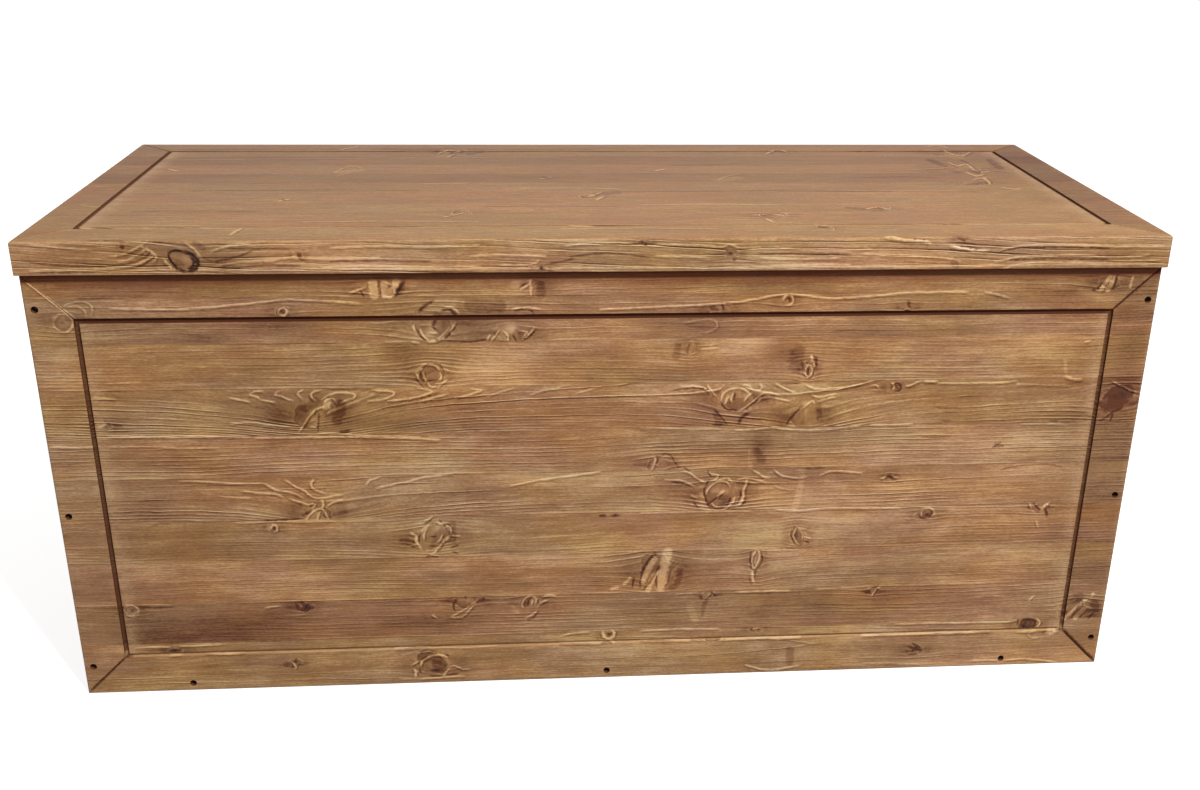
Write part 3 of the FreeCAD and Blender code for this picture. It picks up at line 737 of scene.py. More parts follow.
lidTopKnots = [
    (461, 213, 9, 2.5, "ghost"), (453, 152, 16, 3, "ghost"), (772, 215, 12, 2.5, "ghost"),
    (778, 152, 8, 2, "ghost"), (826, 228, 7, 2, "ghost"), (883, 208, 7, 2, "ghost"), (590, 196, 10, 2, "ghost"),
    (965, 170, 18, 6, "ghost"), (975, 182, 14, 3, "ghost"), (945, 153, 12, 2.5, "ghost"),
]
# soft dark stain: picture pixel, half sizes in millimetres, and strength
frontStains = [
    (225, 626, 105, 24, 0.58), (760, 446, 9, 14, 0.9), (1120, 400, 20, 18, 0.35), (545, 284, 14, 12, 0.8),
    (470, 320, 30, 10, 0.55), (690, 344, 14, 8, 0.5), (240, 350, 22, 10, 0.7), (655, 465, 30, 12, 0.35),
    (380, 420, 60, 12, 0.25), (1130, 360, 14, 30, 0.35), (520, 530, 60, 10, 0.35), (120, 425, 16, 10, 0.6),
    (700, 545, 40, 12, 0.3), (960, 600, 60, 14, 0.25), (200, 552, 70, 7, 0.55), (450, 620, 60, 10, 0.35),
    (1078, 470, 34, 150, 0.3), (400, 300, 110, 12, 0.3), (1120, 480, 22, 160, 0.25), (785, 352, 16, 10, 0.7),
    (402, 352, 18, 14, 0.9), (300, 326, 50, 8, 0.4), (350, 540, 90, 9, 0.3), (270, 418, 40, 7, 0.45),
    (1090, 290, 60, 10, 0.35), (185, 450, 75, 50, 0.13), (920, 648, 130, 12, 0.1), (870, 293, 170, 14, 0.07),
]
lidFrontStains = [
    (60, 262, 70, 16, 0.45), (165, 250, 60, 10, 0.4), (225, 262, 14, 8, 0.8), (545, 262, 40, 8, 0.35),
    (1010, 250, 40, 8, 0.3), (1120, 252, 75, 22, 0.55), (640, 240, 30, 5, 0.4),
]
# marks of the grain as seen in the picture: pixels along each line, and for wide ones the half width first
frontMarks = {
    "pale": [
        (455, 323, 450, 331, 443, 338, 434, 342, 426, 342), (449, 328, 444, 334, 437, 340), (423, 316, 433, 315.5),
        (444, 307.5, 450, 307, 456, 310, 459, 314), (429, 332.5, 437, 333), (420, 329, 423, 336, 429, 341),
        (412, 342, 419, 343), (499, 330, 494, 337, 491, 341), (503, 331, 507, 335, 508, 341),
        (534, 328, 530, 333, 523, 340), (519, 331, 527, 332, 522, 338), (490, 335, 487, 340),
        (512, 309, 520, 308, 530, 307.5, 540, 309), (530, 281, 528, 285, 521, 289), (366, 287, 358, 290, 350, 293),
        (278, 313, 279, 309, 284, 308, 287, 312, 284, 316, 279, 315), (382, 297, 391, 297),
        (419, 368, 422, 365, 429, 364.5, 436, 366, 440, 370), (440, 372, 441, 377, 440, 380), (416, 373, 419, 378),
        (423, 372, 424, 378, 427, 381), (428, 383, 431, 387, 437, 386), (447, 380, 441, 384, 438, 387),
        (262, 391, 254, 391.5, 250, 395, 257, 397, 261, 400, 275, 402),
        (282, 390.5, 277, 392, 275, 395, 281, 396, 287, 399, 293, 400.5),
        (303, 390, 299, 392, 297.5, 394.5, 300, 397, 303, 400),
        (321, 390, 314, 391.5, 311, 394, 312, 398, 316, 401),
        (322, 400, 326, 396, 333, 393.5, 342, 392.5, 352, 393.5, 355, 396, 351, 399, 345, 401, 341, 403),
        (323, 403, 327, 399.5, 333, 398.5, 336, 402), (324, 407, 317, 409, 311, 414, 306, 421, 302, 427, 299, 432),
        (371, 390, 378, 391, 388, 391, 394, 393, 390, 397, 380, 400, 368, 401),
        (417, 388, 424, 389, 432, 392, 425, 395, 410, 399, 388, 401), (448, 394, 436, 397, 420, 401),
        (455, 398, 475, 393, 481, 390, 470, 389), (230, 398, 240, 400, 250, 402),
        (230, 423.5, 250, 422.5, 268, 425, 290, 427), (318, 433, 345, 434, 370, 436, 420, 437),
        (721, 401, 723, 394, 728, 390, 735, 388.5, 740, 388.5, 745, 390, 749, 394), (733, 394, 731, 398, 732, 403),
        (743, 385, 749, 386, 752, 390), (760, 384, 762, 388, 758, 391),
        (757, 402, 761, 398.5, 766, 397.5, 775, 398, 790, 401),
        (737, 412, 745, 407, 752, 402, 757, 398, 762, 394, 768, 392.5, 774, 394, 781, 395),
        (682, 387, 692, 386, 700, 387, 708, 390, 711, 394), (707, 385, 712, 392, 716, 396),
        (801, 409, 807, 404.5, 812, 401, 815, 405), (812, 395, 818, 397, 826, 396, 836, 394),
        (818, 402, 826, 399, 836, 397), (806, 385, 815, 389, 830, 388.5, 845, 387, 862, 384),
        (776, 384, 782, 387, 790, 391, 796, 393),
        (735, 430, 755, 429.5, 770, 427.5, 785, 429, 800, 430, 825, 429.5, 860, 426),
        (809, 364, 806, 368, 805, 373, 808, 377, 811, 374, 812, 369, 810, 365), (814, 362, 815, 366),
        (705, 495, 708, 489, 713, 484, 720, 481, 727, 482, 730, 486), (717, 481, 723, 479, 729, 479, 732, 483),
        (709, 471, 711, 474, 716, 474.5, 718, 476, 716, 479, 711, 481),
        (683, 471.5, 690, 473, 695, 477, 700, 480, 706, 483), (665, 480, 680, 480.5, 688, 483, 695, 487),
        (735, 496, 733, 502, 728, 507, 722, 510), (738, 480, 744, 478, 755, 479.5, 765, 482), (691, 496, 698, 498),
        (752, 469.5, 758, 473, 764, 477, 770, 478), (774, 469.5, 779, 474, 787, 477, 797, 478, 806, 477),
        (820, 475, 830, 471.5, 842, 471, 862, 473), (650, 464, 658, 465),
        (178, 481, 200, 481.5, 235, 483.5, 262, 483.5, 268, 486, 275, 489),
        (240, 491, 260, 493, 275, 494, 283, 497), (268, 485, 275, 490, 285, 491.5, 293, 493, 303, 498),
        (290, 498.5, 300, 502.5, 308, 504.5, 315, 504, 313, 508),
        (285, 480, 290, 483, 296, 487, 305, 491, 312, 497, 322, 498, 333, 496, 342, 495),
        (314, 479, 311, 483, 312, 488, 317, 491, 325, 493), (342, 500, 332, 503, 326, 507),
        (306, 520, 310, 514, 316, 510, 322, 509, 326, 514, 328, 519), (317, 520, 319, 513, 321, 511),
        (270, 529, 273, 525, 277, 527, 276, 531, 271, 532), (366, 485, 370, 480, 380, 477),
        (376, 488, 395, 484, 410, 481, 425, 477, 453, 474), (510, 486, 540, 480, 570, 476, 600, 472),
        (429, 525, 426, 527, 423, 530, 421, 533), (424, 521, 429, 519, 432, 516), (437, 522, 440, 524, 443, 523),
        (444, 528, 447, 526.5, 450, 528, 451, 533), (437, 549, 434, 553, 430, 555, 437, 555),
        (451, 535.5, 460, 536), (411, 545, 417, 546), (450, 617, 460, 612, 470, 606, 478, 599),
        (450, 617, 462, 617, 468, 611, 476, 603), (432, 615, 437, 618),
        (523, 608, 522, 603, 526, 598, 531, 596, 536, 599, 535, 604), (533, 600, 531, 605),
        (537, 607, 542, 602, 548, 600), (542, 597, 550, 595, 556, 596), (537, 611, 532, 615, 526, 618),
        (757, 550, 753, 555, 752, 562, 753, 568, 756, 566, 759, 559, 759, 552, 757, 550),
        (797, 527, 794, 532, 793, 537, 796, 542, 799, 545), (804, 537, 810, 538),
        (775, 509.5, 800, 510.5, 830, 508, 870, 508, 900, 508), (921, 508, 930, 508, 934, 511),
        (871, 596, 874, 592, 876, 589, 880, 587), (735, 592, 770, 591, 790, 590.5),
        (124, 609, 126, 613, 131, 616, 136, 613, 138, 610), (135, 648, 150, 647, 170, 647),
        (178, 646, 195, 646, 225, 644), (170, 656, 182, 655), (205, 654, 215, 654, 230, 654, 245, 653),
        (265, 608, 270, 607, 280, 606), (293, 663, 296, 667, 295, 669), (443, 676, 446, 672, 449, 669),
        (450, 667, 454, 665.5, 458, 667, 463, 669, 470, 669), (412, 665, 417, 662, 420, 661),
        (432, 646, 441, 645.5), (420, 679, 435, 678, 450, 677, 465, 676), (1036, 619, 1040, 622, 1037, 627),
        (1016, 632, 1030, 632, 1037, 630), (895, 624, 940, 623, 975, 622.5, 1005, 622, 1016, 620),
        (970, 660.5, 997, 660), (1005, 660, 1020, 659, 1040, 660, 1060, 663), (1029, 600, 1034, 596),
        (1029, 503, 1031, 508), (880, 479, 886, 477), (893, 477, 898, 478), (891, 382, 894, 385, 893, 390),
        (905, 386, 909, 386, 915, 383, 922, 381), (938, 383, 975, 383, 1000, 382.5, 1017, 381),
        (870, 386, 876, 385, 879, 388), (870, 425, 890, 425, 912, 424), (1057, 421.5, 1070, 421),
        (600, 309.5, 700, 305, 744, 301, 777, 295, 800, 295, 834, 298.5, 884, 295, 908, 292.7, 968, 292),
        (110, 308.5, 175, 309.5, 225, 306, 272, 301, 289, 299.5, 342, 302, 362, 303.5),
        (783, 301, 785, 296, 790, 295, 793, 299, 791, 304, 786, 305), (900, 314, 906, 309, 911, 311),
        (706, 316, 712, 312, 720, 312), (50, 447, 80, 448, 95, 447), (92, 398, 115, 399), (1085, 342, 1090, 341),
        (1095, 289, 1100, 291, 1104, 290), (985, 292, 1000, 295, 1010, 298),
        (1112, 381, 1122, 386, 1130, 390, 1140, 393), (560, 636, 575, 633, 590, 632),
        (640, 641, 670, 640.5, 690, 641), (640, 631, 680, 629, 720, 629), (600, 643, 608, 641, 614, 643),
        (745, 665, 760, 669, 772, 670, 785, 668, 800, 665), (753, 629, 757, 628), (744, 401, 748, 396, 752, 393),
        (725, 404, 727, 399, 729, 396), (711, 502, 714, 506, 720, 508), (427, 528, 424, 533, 424, 540),
        (442, 534, 440, 540, 436, 543), (124, 609, 127, 606, 132, 605.5, 137, 608, 139, 611),
        # the last line on the row below paints a highlight on the lit wall of the upper left scored mitre
        (125, 613, 129, 616, 134, 616, 138, 613), (705, 598, 710, 594), (74, 318, 50, 300, 26, 282),
        (108, 437, 200, 437, 250, 437), (255, 438, 330, 437, 389, 437.5, 440, 440),
    ],
    "bold": [
        (811, 356, 812, 361), (717, 497, 720, 493.5, 724, 491), (655, 457, 654, 464, 651, 469),
        (322, 500, 323, 505, 321, 509), (747, 480, 745, 487, 743, 491, 743, 496, 741, 502, 737, 506),
        (410, 533, 416, 536, 416, 541, 418, 545, 421, 548), (449, 536, 445, 540, 441, 545, 437, 548),
        (753, 571, 752, 577, 754, 583), (1048, 631, 1055, 631),
        (420, 667, 422, 661, 425, 659, 431, 656, 437, 655, 443, 655.5, 447, 658), (415, 677, 416, 672, 414, 669),
        (395, 649, 408, 648, 417, 647, 430, 647.5), (862, 636, 880, 634.5, 910, 634, 935, 633, 970, 632, 990, 631),
        (1042, 508, 1046, 505, 1049, 503), (924, 381.5, 937, 381.5), (97, 428, 103, 426, 107, 423),
        (1066, 377, 1075, 379, 1083, 379), (603, 632, 604, 637, 609, 639, 613, 637, 614, 633, 611, 630),
        (560, 643, 600, 643), (722, 639.5, 745, 638.5, 775, 638, 800, 637.5), (413, 326, 414, 331),
    ],
    "faint": [
        (420, 325, 430, 324.5), (385, 342, 402, 342), (486, 397, 500, 392, 514, 388),
        (530, 395, 545, 390, 562, 387), (575, 394, 590, 389, 600, 387), (640, 429, 680, 428.5, 720, 429),
        (775, 486, 783, 489, 797, 490), (640, 513, 680, 512, 720, 511, 750, 511), (218, 496, 235, 497.5, 252, 498),
        (235, 523, 265, 522, 290, 521, 335, 521), (428, 544.5, 438, 544.5), (676, 594, 690, 593, 700, 592),
        (755, 556, 755, 564), (801, 540, 803, 535, 799, 529, 795, 527), (760, 550.5, 770, 550, 799, 549.5),
        (921, 517, 922, 511, 926, 510), (815, 589, 840, 588, 870, 586), (131, 617, 136, 617, 139, 613),
        (141, 605, 155, 605, 170, 605), (285, 616, 300, 615, 308, 614), (299, 604, 303, 608),
        (400, 679, 420, 678.5), (1028, 634, 1032, 638, 1040, 637), (862, 663, 895, 663, 920, 664.5),
        (975, 597, 990, 596, 1005, 596), (1036, 520, 1038, 527), (1017, 384, 1050, 385, 1070, 386),
        (870, 390, 890, 390), (1020, 424, 1045, 424, 1070, 425),
        (684, 323, 700, 320, 714, 320, 717, 327, 708, 332, 700, 332), (698, 346, 706, 345, 718, 344),
        (698, 349, 718, 348), (53, 321, 58, 315, 66, 315, 72, 320, 72, 327, 66, 332, 58, 330, 53, 325),
        (62, 312, 65, 305, 75, 302, 85, 302, 92, 307, 91, 315), (66, 307, 76, 306, 84, 310, 86, 316),
        (105, 384, 140, 382), (110, 447, 160, 447, 220, 449), (630, 640, 660, 638.5, 690, 638, 720, 637),
        (309, 422, 316, 419), (308, 427, 317, 427), (1104, 338, 1112, 335),
    ],
    "dark": [
        (378.5, 281, 378, 288), (380, 290, 381, 297), (455, 328, 447, 335, 441, 340),
        (417, 330, 420, 336, 426, 341), (436, 340.5, 452, 341, 470, 342, 486, 340), (432, 327, 436, 330),
        (497, 331, 493, 338), (505, 333, 508, 338), (535, 331, 529, 337, 522, 341), (513, 335, 516, 341),
        (515, 311, 522, 309.5, 530, 310, 534, 314), (520, 287, 527, 283), (420, 371, 421, 377, 424, 382),
        (427, 381, 437, 380), (415, 378, 419, 383, 424, 389), (441, 366, 444, 372),
        (317, 411, 319, 417, 318, 425, 318, 432), (316, 410, 315, 415), (721, 402, 723, 406, 728, 410, 736, 410),
        (735, 393, 734, 400), (752, 404, 757, 400), (672, 391, 684, 389, 698, 388, 706, 391),
        (714, 409, 720, 416, 727, 425), (712, 425, 726, 425), (786, 425, 789, 420, 794, 414, 801, 408),
        (781, 384, 800, 383.5), (806, 363, 811, 364), (709, 480, 705, 487, 704, 494, 706, 501, 709, 507, 712, 509),
        (708, 470, 711, 477), (684, 468, 690, 472), (672, 482, 684, 484), (708, 504, 714, 500, 719, 496),
        (741, 489, 740, 497, 737, 503), (747, 500, 742, 505), (731, 498, 727, 505),
        (712, 508.5, 725, 509, 740, 509), (694, 503, 698, 508), (265, 521, 290, 519.5, 302, 519),
        (266, 530, 268, 531), (279, 530, 280, 531), (310, 507, 315, 503), (421, 534, 419, 538, 419, 543),
        (425, 524, 428, 522, 431, 520), (438, 525, 440, 524.5), (439, 520, 442, 522.5),
        (444, 526, 447, 524.5, 450, 526), (452, 542, 446, 542, 443, 545, 440, 549), (437, 551, 440, 550),
        (425, 557.5, 430, 556, 438, 557), (430, 537, 436, 536.5), (451, 548, 458, 545), (453, 552, 458, 554),
        (412, 547, 415, 547), (652, 556, 645, 566, 641, 577, 640, 588), (659, 566, 653, 577, 647, 586, 643, 590),
        (656, 575, 656, 583, 657, 590), (634, 578, 632, 588), (447, 599, 456, 597), (456, 600, 453, 606, 455, 611),
        (465, 597, 466, 599), (484, 597, 482, 601), (528, 606, 529, 600, 532, 597), (538, 611, 534, 617, 528, 621),
        (751, 552, 750, 560, 751, 568), (761, 552, 762, 560, 759, 567), (792, 529, 791, 536, 794, 543),
        (804, 541, 809, 543), (872, 588, 878, 586), (129, 609.5, 131, 609.5), (299, 665, 303, 665),
        (429, 676, 443, 676), (421, 673, 419, 668), (420, 652, 428, 650, 436, 652), (421, 660, 428, 656),
        (447, 675, 458, 674), (1038, 632, 1052, 632), (1018, 620, 1017, 626), (905, 646, 915, 648),
        (905, 651, 916, 651), (908, 655, 917, 654), (912, 643, 920, 648), (1071, 618, 1075, 611, 1079, 606),
        (1088, 619, 1093, 613, 1099, 611), (1033, 503, 1036, 507, 1040, 510), (992, 448, 996, 445, 1000, 443),
        (998, 446, 1003, 446), (893, 387, 896, 383, 901, 386, 899, 391, 895, 391), (786, 300, 788, 298, 790, 301),
        (903, 312, 907, 310, 913, 313), (722, 304, 724, 310), (1118, 273, 1115, 283, 1113, 289),
        (1101, 284, 1098, 288, 1093, 290), (1112, 383, 1122, 388, 1130, 392, 1140, 395),
        (1100, 421, 1108, 416, 1113, 412, 1122, 408), (1113, 412, 1110, 421), (360, 291, 364, 297),
        # the last line on the row below and the row after it paint shade into the lower left and upper right scored
        # mitres
        (1050, 421, 1070, 421), (711, 592, 716, 596), (128.5, 654.5, 110, 672, 91, 690),
        (1113, 309, 1136, 289, 1160, 269),
    ],
    "deep": [
        (994, 447, 1000, 443), (995, 444, 999, 447), (600, 516, 605, 516), (612, 516, 618, 515),
        (908, 646, 914, 649), (914, 649, 921, 650), (911, 652, 917, 646), (131, 610, 133, 611),
        (404, 281, 399, 290, 394, 297), (419, 312, 424, 306, 433, 301), (442, 311, 446, 309, 451, 310, 455, 315),
        (436, 320, 433, 325), (338, 433, 350, 431), (739, 424, 741, 418, 749, 413), (809, 368, 808, 374),
        (816, 358, 816, 368), (802, 363, 804, 370), (303, 516, 311, 511), (274, 527, 274.5, 529),
        (926, 514, 927, 515), (866, 592, 870, 592), (170, 651, 180, 650), (301, 602, 303, 603),
        (294, 661, 297, 662), (431, 670.5, 438, 670.5), (446, 655, 448, 656),
        (1021, 622, 1024, 619.5, 1031, 620, 1035, 622, 1033, 627, 1025, 628, 1021, 624), (919, 650, 920, 650.5),
        (1045, 509, 1047, 516), (886, 478, 889, 476.5, 893, 479), (897, 388, 898, 388.5), (908, 302, 910, 307),
        # the second line on the row below paints shade into the lower right scored mitre
        (282, 311.5, 283, 312.5), (1063, 629.5, 1078, 644.5, 1094, 660), (105, 422, 110, 427),
        (607, 634, 609, 634.5), (700, 597, 702, 599), (750, 630, 751, 630.5), (758, 630, 759, 630.5),
    ],
    "dim": [
        (934, 407.5, 958, 408), (941, 421, 956, 421.5), (945, 412, 953, 413),
        (440, 393, 425, 397, 405, 401, 388, 402.5), (382, 409, 398, 407, 420, 403, 445, 401),
        (255, 420, 280, 422, 298, 424), (752, 426.5, 770, 425.5, 786, 426),
        (658, 460, 664, 454, 670, 455, 674, 461, 678, 467), (800, 468, 815, 469, 825, 468),
        (152, 526, 160, 524, 170, 524), (428, 545.5, 437, 546), (679, 562, 671, 570, 668, 582, 662, 590),
        (676, 560, 670, 568), (755, 555, 754, 562), (802, 531, 807, 530), (778, 549, 799, 548, 812, 547),
        (918, 513, 921, 518, 928, 519, 932, 515), (142, 607, 155, 608, 175, 607), (133, 651, 170, 650.5),
        (210, 643.5, 240, 642.5, 280, 641.5), (296, 605, 298, 610, 304, 610, 306, 605),
        (1000, 470, 1020, 466, 1045, 464.5, 1062, 467), (920, 437, 950, 437), (75, 299, 95, 299, 125, 299),
        (57, 321, 57, 322), (66, 320, 67, 321),
    ],
    "slab": [
        (4.6, 372.5, 283, 374, 296), (3.8, 384, 283, 384.5, 296), (4.3, 396, 282, 388.5, 296),
        (1.8, 531, 281, 531.5, 294), (4, 328, 402, 326, 407), (3.3, 655, 559, 648, 570, 643, 581),
        (3.3, 657, 572, 651, 582, 648, 590), (5.5, 668, 552, 664, 565, 662, 580, 660, 588),
        (2.5, 1064, 619, 1070, 613, 1078, 606, 1086, 599, 1093, 594), (3, 1075, 618, 1084, 609),
        (2.6, 1100, 291, 1105, 284, 1110, 277), (3, 1108, 290, 1113, 279), (1.6, 1133, 277, 1130, 287),
        (2, 612, 589, 624, 584, 630, 578),
    ],
    "tan": [
        (3, 391, 335, 404, 331), (7, 510, 326, 511, 338), (6, 806, 405, 800, 415, 795, 422),
        (2.5, 719, 407, 728, 413, 740, 413, 750, 409), (2.5, 692, 341, 691, 348, 690, 354), (3, 751, 450, 750, 468),
        (4, 802, 470, 801, 485, 797, 500, 795, 507), (4, 462, 602, 470, 600), (3, 441, 606, 450, 605),
        (3, 512, 606, 517, 612), (5, 690, 605, 695, 620), (2, 1065, 360, 1066, 375), (4, 1080, 291, 1100, 296),
        (5, 312, 424, 320, 416), (6, 436, 322, 430, 332), (8, 434, 305, 450, 302),
        (3, 701, 494, 703, 500, 702, 506, 708, 511),
    ],
    "shade": [
        (5, 305, 408, 316, 402), (6, 340, 404, 340, 414, 337, 420), (4, 716, 414, 719, 424),
        (5, 722, 498, 727, 500, 722, 505), (4, 402, 541, 411, 542), (4, 680, 570, 679, 580, 672, 588),
        (2.4, 655, 553, 648, 562, 642, 572), (4, 818, 405, 820, 418), (8, 798, 352, 795, 366),
        (10, 1108, 404, 1120, 400), (6, 1074, 600, 1080, 597), (5, 1094, 603, 1096, 608), (8, 437, 664, 440, 667),
        (3.4, 798, 534, 799, 541), (5, 757, 452, 762, 460), (5, 790, 650, 790, 662), (3, 706, 600, 700, 618),
        (4, 678, 346, 676, 356), (4, 399, 291, 402, 286), (4, 286, 664, 291, 665), (4, 309, 606, 311, 608),
        (5, 1027, 624, 1029, 624), (7, 470, 305, 500, 306), (5, 540, 285, 541, 294), (4, 452, 524, 453, 540),
    ],
}
lidMarks = {
    "ring": [
        (184, 252.5, 192, 254.5, 197.5, 261.5, 196, 268.5, 187, 271.5, 178, 270),
        (191, 257, 194.5, 262, 193, 267.5, 187, 269.5), (176.5, 269.5, 178.5, 270.5), (122, 246.5, 123, 247.5),
        (298, 254.5, 299, 256), (541, 268, 541, 270), (645.5, 244, 646.5, 245), (730, 254, 731, 254.5),
    ],
    "ringThin": [
        (178, 270, 173.5, 264.5, 169, 258, 168.5, 253.5, 175, 250.5, 184, 252.5),
    ],
    "pale": [
        (110, 256, 120, 255, 135, 249, 147, 241), (118, 262, 132, 258, 143, 251, 147, 246),
        (185, 243, 195, 250, 201, 258), (210, 252, 230, 245, 250, 244), (290, 258, 296, 256),
        (565, 246, 580, 244, 610, 243, 632, 243.5), (650, 246, 670, 244.5, 700, 245, 722, 247, 728, 244),
        (655, 256, 705, 257), (728, 244, 735, 246, 740, 248, 760, 248, 792, 248),
        (500, 265, 525, 265, 535, 263, 539, 260), (505, 269, 530, 268, 536, 265), (590, 271, 640, 272, 680, 273),
        (1000, 250, 1015, 246.5, 1040, 245, 1080, 245, 1115, 246.5, 1165, 246),
        (995, 262, 1015, 257.5, 1040, 256, 1080, 255, 1110, 257, 1150, 255),
        (1000, 270, 1020, 264, 1050, 262, 1100, 262, 1160, 260), (862, 254, 890, 255, 920, 256, 945, 258, 960, 261),
        (30, 245, 60, 248, 90, 250), (40, 270, 80, 269, 110, 268, 135, 265, 150, 258, 156, 254),
        (250, 262, 290, 258, 330, 259, 380, 258), (320, 268, 360, 266, 420, 267, 480, 266),
        (470, 256, 500, 255, 545, 256), (760, 258, 800, 259, 840, 258), (770, 266, 810, 265, 850, 265),
        (330, 248, 380, 246, 430, 247, 480, 245), (215, 266, 240, 262, 275, 261),
        # the line below is a painted highlight along the lid front's lower arris, just above its cast shadow
        (30, 271, 150, 270.5, 300, 269.5, 450, 269, 600, 268, 750, 267.3, 900, 266.5, 1050, 265, 1165, 264),
    ],
    "bold": [
        (140, 246, 150, 251, 156, 257, 152, 262), (163, 259, 168, 264, 172, 270),
    ],
    "faint": [
        (870, 264, 900, 268, 930, 268), (60, 258, 90, 259, 105, 258), (800, 250, 840, 251, 870, 249),
        (560, 266, 600, 266, 640, 267),
    ],
    "gougeAndGlint": [
        (886, 236, 905, 240, 925, 241, 930, 243), (951, 246, 962, 248, 975, 250.5, 988, 251),
    ],
    "dark": [
        (25, 262, 60, 266, 90, 267, 115, 266, 135, 262, 147, 256, 150, 251),
        (40, 273, 80, 272, 110, 271, 135, 268, 150, 261, 155, 257), (228, 249, 250, 249, 290, 249),
        (570, 257, 585, 255, 605, 253.5, 630, 255, 650, 258), (545, 265, 560, 262, 575, 259),
        (890, 238, 915, 239, 930, 241), (955, 245, 970, 247, 982, 249.5),
        (1000, 252, 1020, 248, 1060, 247.5, 1110, 248.5), (300, 259, 306, 261), (215, 262, 240, 256, 252, 251),
        (80, 241, 115, 241, 125, 243), (330, 262, 380, 261, 430, 262), (220, 270, 260, 266, 300, 266),
        (760, 254, 800, 254, 850, 255), (1010, 260, 1060, 259, 1110, 260),
    ],
    "deep": [
        (642, 243, 643, 243.5), (733, 260, 735, 260),
    ],
    "dim": [
        (203, 258, 213, 262), (60, 245, 80, 247, 110, 246), (700, 262, 760, 263), (1030, 266, 1090, 265),
    ],
    "tan": [
        (3, 205, 266, 215, 265), (3, 160, 268, 166, 270), (3, 633, 242, 636, 242.5),
    ],
    "shade": [
        (3, 955, 238, 967, 238), (4, 955, 261, 955, 268), (3, 195, 243, 203, 248), (4, 120, 256, 140, 254),
    ],
}
lidTopMarks = {
    "pale": [
        (438, 154, 448, 150, 464, 152), (446, 158, 454, 154), (340, 150, 350, 148, 360, 146), (168, 169, 178, 171),
        (278, 201, 290, 199), (540, 179, 552, 177), (444, 217, 462, 213), (588, 197, 602, 192),
        (596, 200, 604, 196), (230, 235, 236, 231, 242, 228), (766, 154, 774, 150), (780, 150, 790, 152),
        (654, 171, 666, 169), (866, 209, 878, 207, 890, 210), (754, 215, 772, 214, 784, 216), (766, 219, 774, 222),
        (926, 147, 938, 145, 948, 148), (944, 150, 952, 154, 962, 156, 970, 152),
        (948, 162, 958, 166, 966, 164, 974, 170), (966, 172, 976, 176, 984, 174), (972, 180, 984, 178, 990, 184),
        (1000, 187, 1012, 189, 1022, 189),
    ],
    "faint": [
        (335, 172, 350, 166, 362, 168), (338, 176, 352, 172), (718, 180, 728, 176, 740, 174), (726, 163, 738, 161),
        (80, 205, 95, 207, 110, 205), (95, 186, 110, 187), (505, 189, 560, 188, 620, 189),
        (180, 160, 400, 158, 560, 158), (420, 184, 470, 183), (640, 205, 700, 204, 780, 205),
        (820, 190, 900, 191, 960, 191), (300, 222, 400, 221, 480, 222), (560, 229, 640, 228, 720, 229),
        (100, 226, 150, 225, 200, 226),
    ],
    "dark": [
        (450, 152, 453, 154), (282, 199, 285, 201), (446, 215, 452, 216), (772, 152, 780, 152),
        (870, 211, 884, 211), (760, 217, 776, 218), (820, 227, 828, 228), (950, 152, 960, 153),
        (968, 170, 980, 174), (960, 160, 968, 163), (434, 151, 446, 152), (542, 177, 548, 178),
    ],
    "dim": [
        (170, 150, 400, 149, 600, 150), (620, 192, 760, 191, 980, 192), (190, 191, 330, 190, 420, 191),
        (480, 207, 560, 206, 620, 207), (660, 166, 720, 165, 800, 166), (840, 178, 900, 177, 940, 178),
        (130, 212, 200, 211, 260, 212),
    ],
    "tan": [
        (5, 340, 172, 360, 170), (6, 720, 180, 736, 178), (4, 440, 156, 462, 154), (6, 930, 150, 960, 158),
        (5, 960, 170, 985, 178),
    ],
    "shade": [
        (4, 930, 160, 944, 166), (4, 990, 160, 1000, 168), (5, 600, 194, 616, 192), (4, 850, 208, 862, 209),
        (4, 470, 154, 480, 152),
    ],
}
# kind of mark: grey levels, and the half width in pixels of the thin ones
markKinds = {
    "pale": (58.0, 1.8), "bold": (70.0, 2.3), "faint": (32.0, 1.7), "gougeAndGlint": (120.0, 2.5),
    "dark": (-60.0, 1.75), "deep": (-80.0, 2.7), "dim": (-34.0, 1.75), "ring": (-170.0, 3.0), "ringThin": (-150.0, 1.7),
    "slab": (46.0, 0.0), "tan": (15.0, 0.0), "shade": (-26.0, 0.0),
}
markLook = {
    "pixel": 0.93, "topPixel": 1.5,                    # millimetres of a pixel on the front and on the lid's top
    "fade": 5.0, "fadeShare": 0.25, "least": 0.35,     # ends fade over a length or share of the line, to the least
    "finer": 6.0, "cuts": 2,                           # faces nearer than this to a line are cut finer
    "onPlane": 0.3, "nearPlane": 3.0, "wide": 3.0, "bend": 0.12,
    "atOnce": 1500,
}
planeAxes = {"y": [0, 2], "z": [0, 1]}                 # axes along and across a face
# marks of each board, the axis and the side of the face that they are on, its pixel, and their share of the levels
boardMarks = {"front_panel": [(frontMarks, "y", "low", "pixel", 1.0)],
              "lid_panel": [(lidMarks, "y", "low", "pixel", 0.75), (lidTopMarks, "z", "high", "topPixel", 0.85)]}
boardStains = {"front_panel": frontStains, "lid_panel": lidFrontStains}
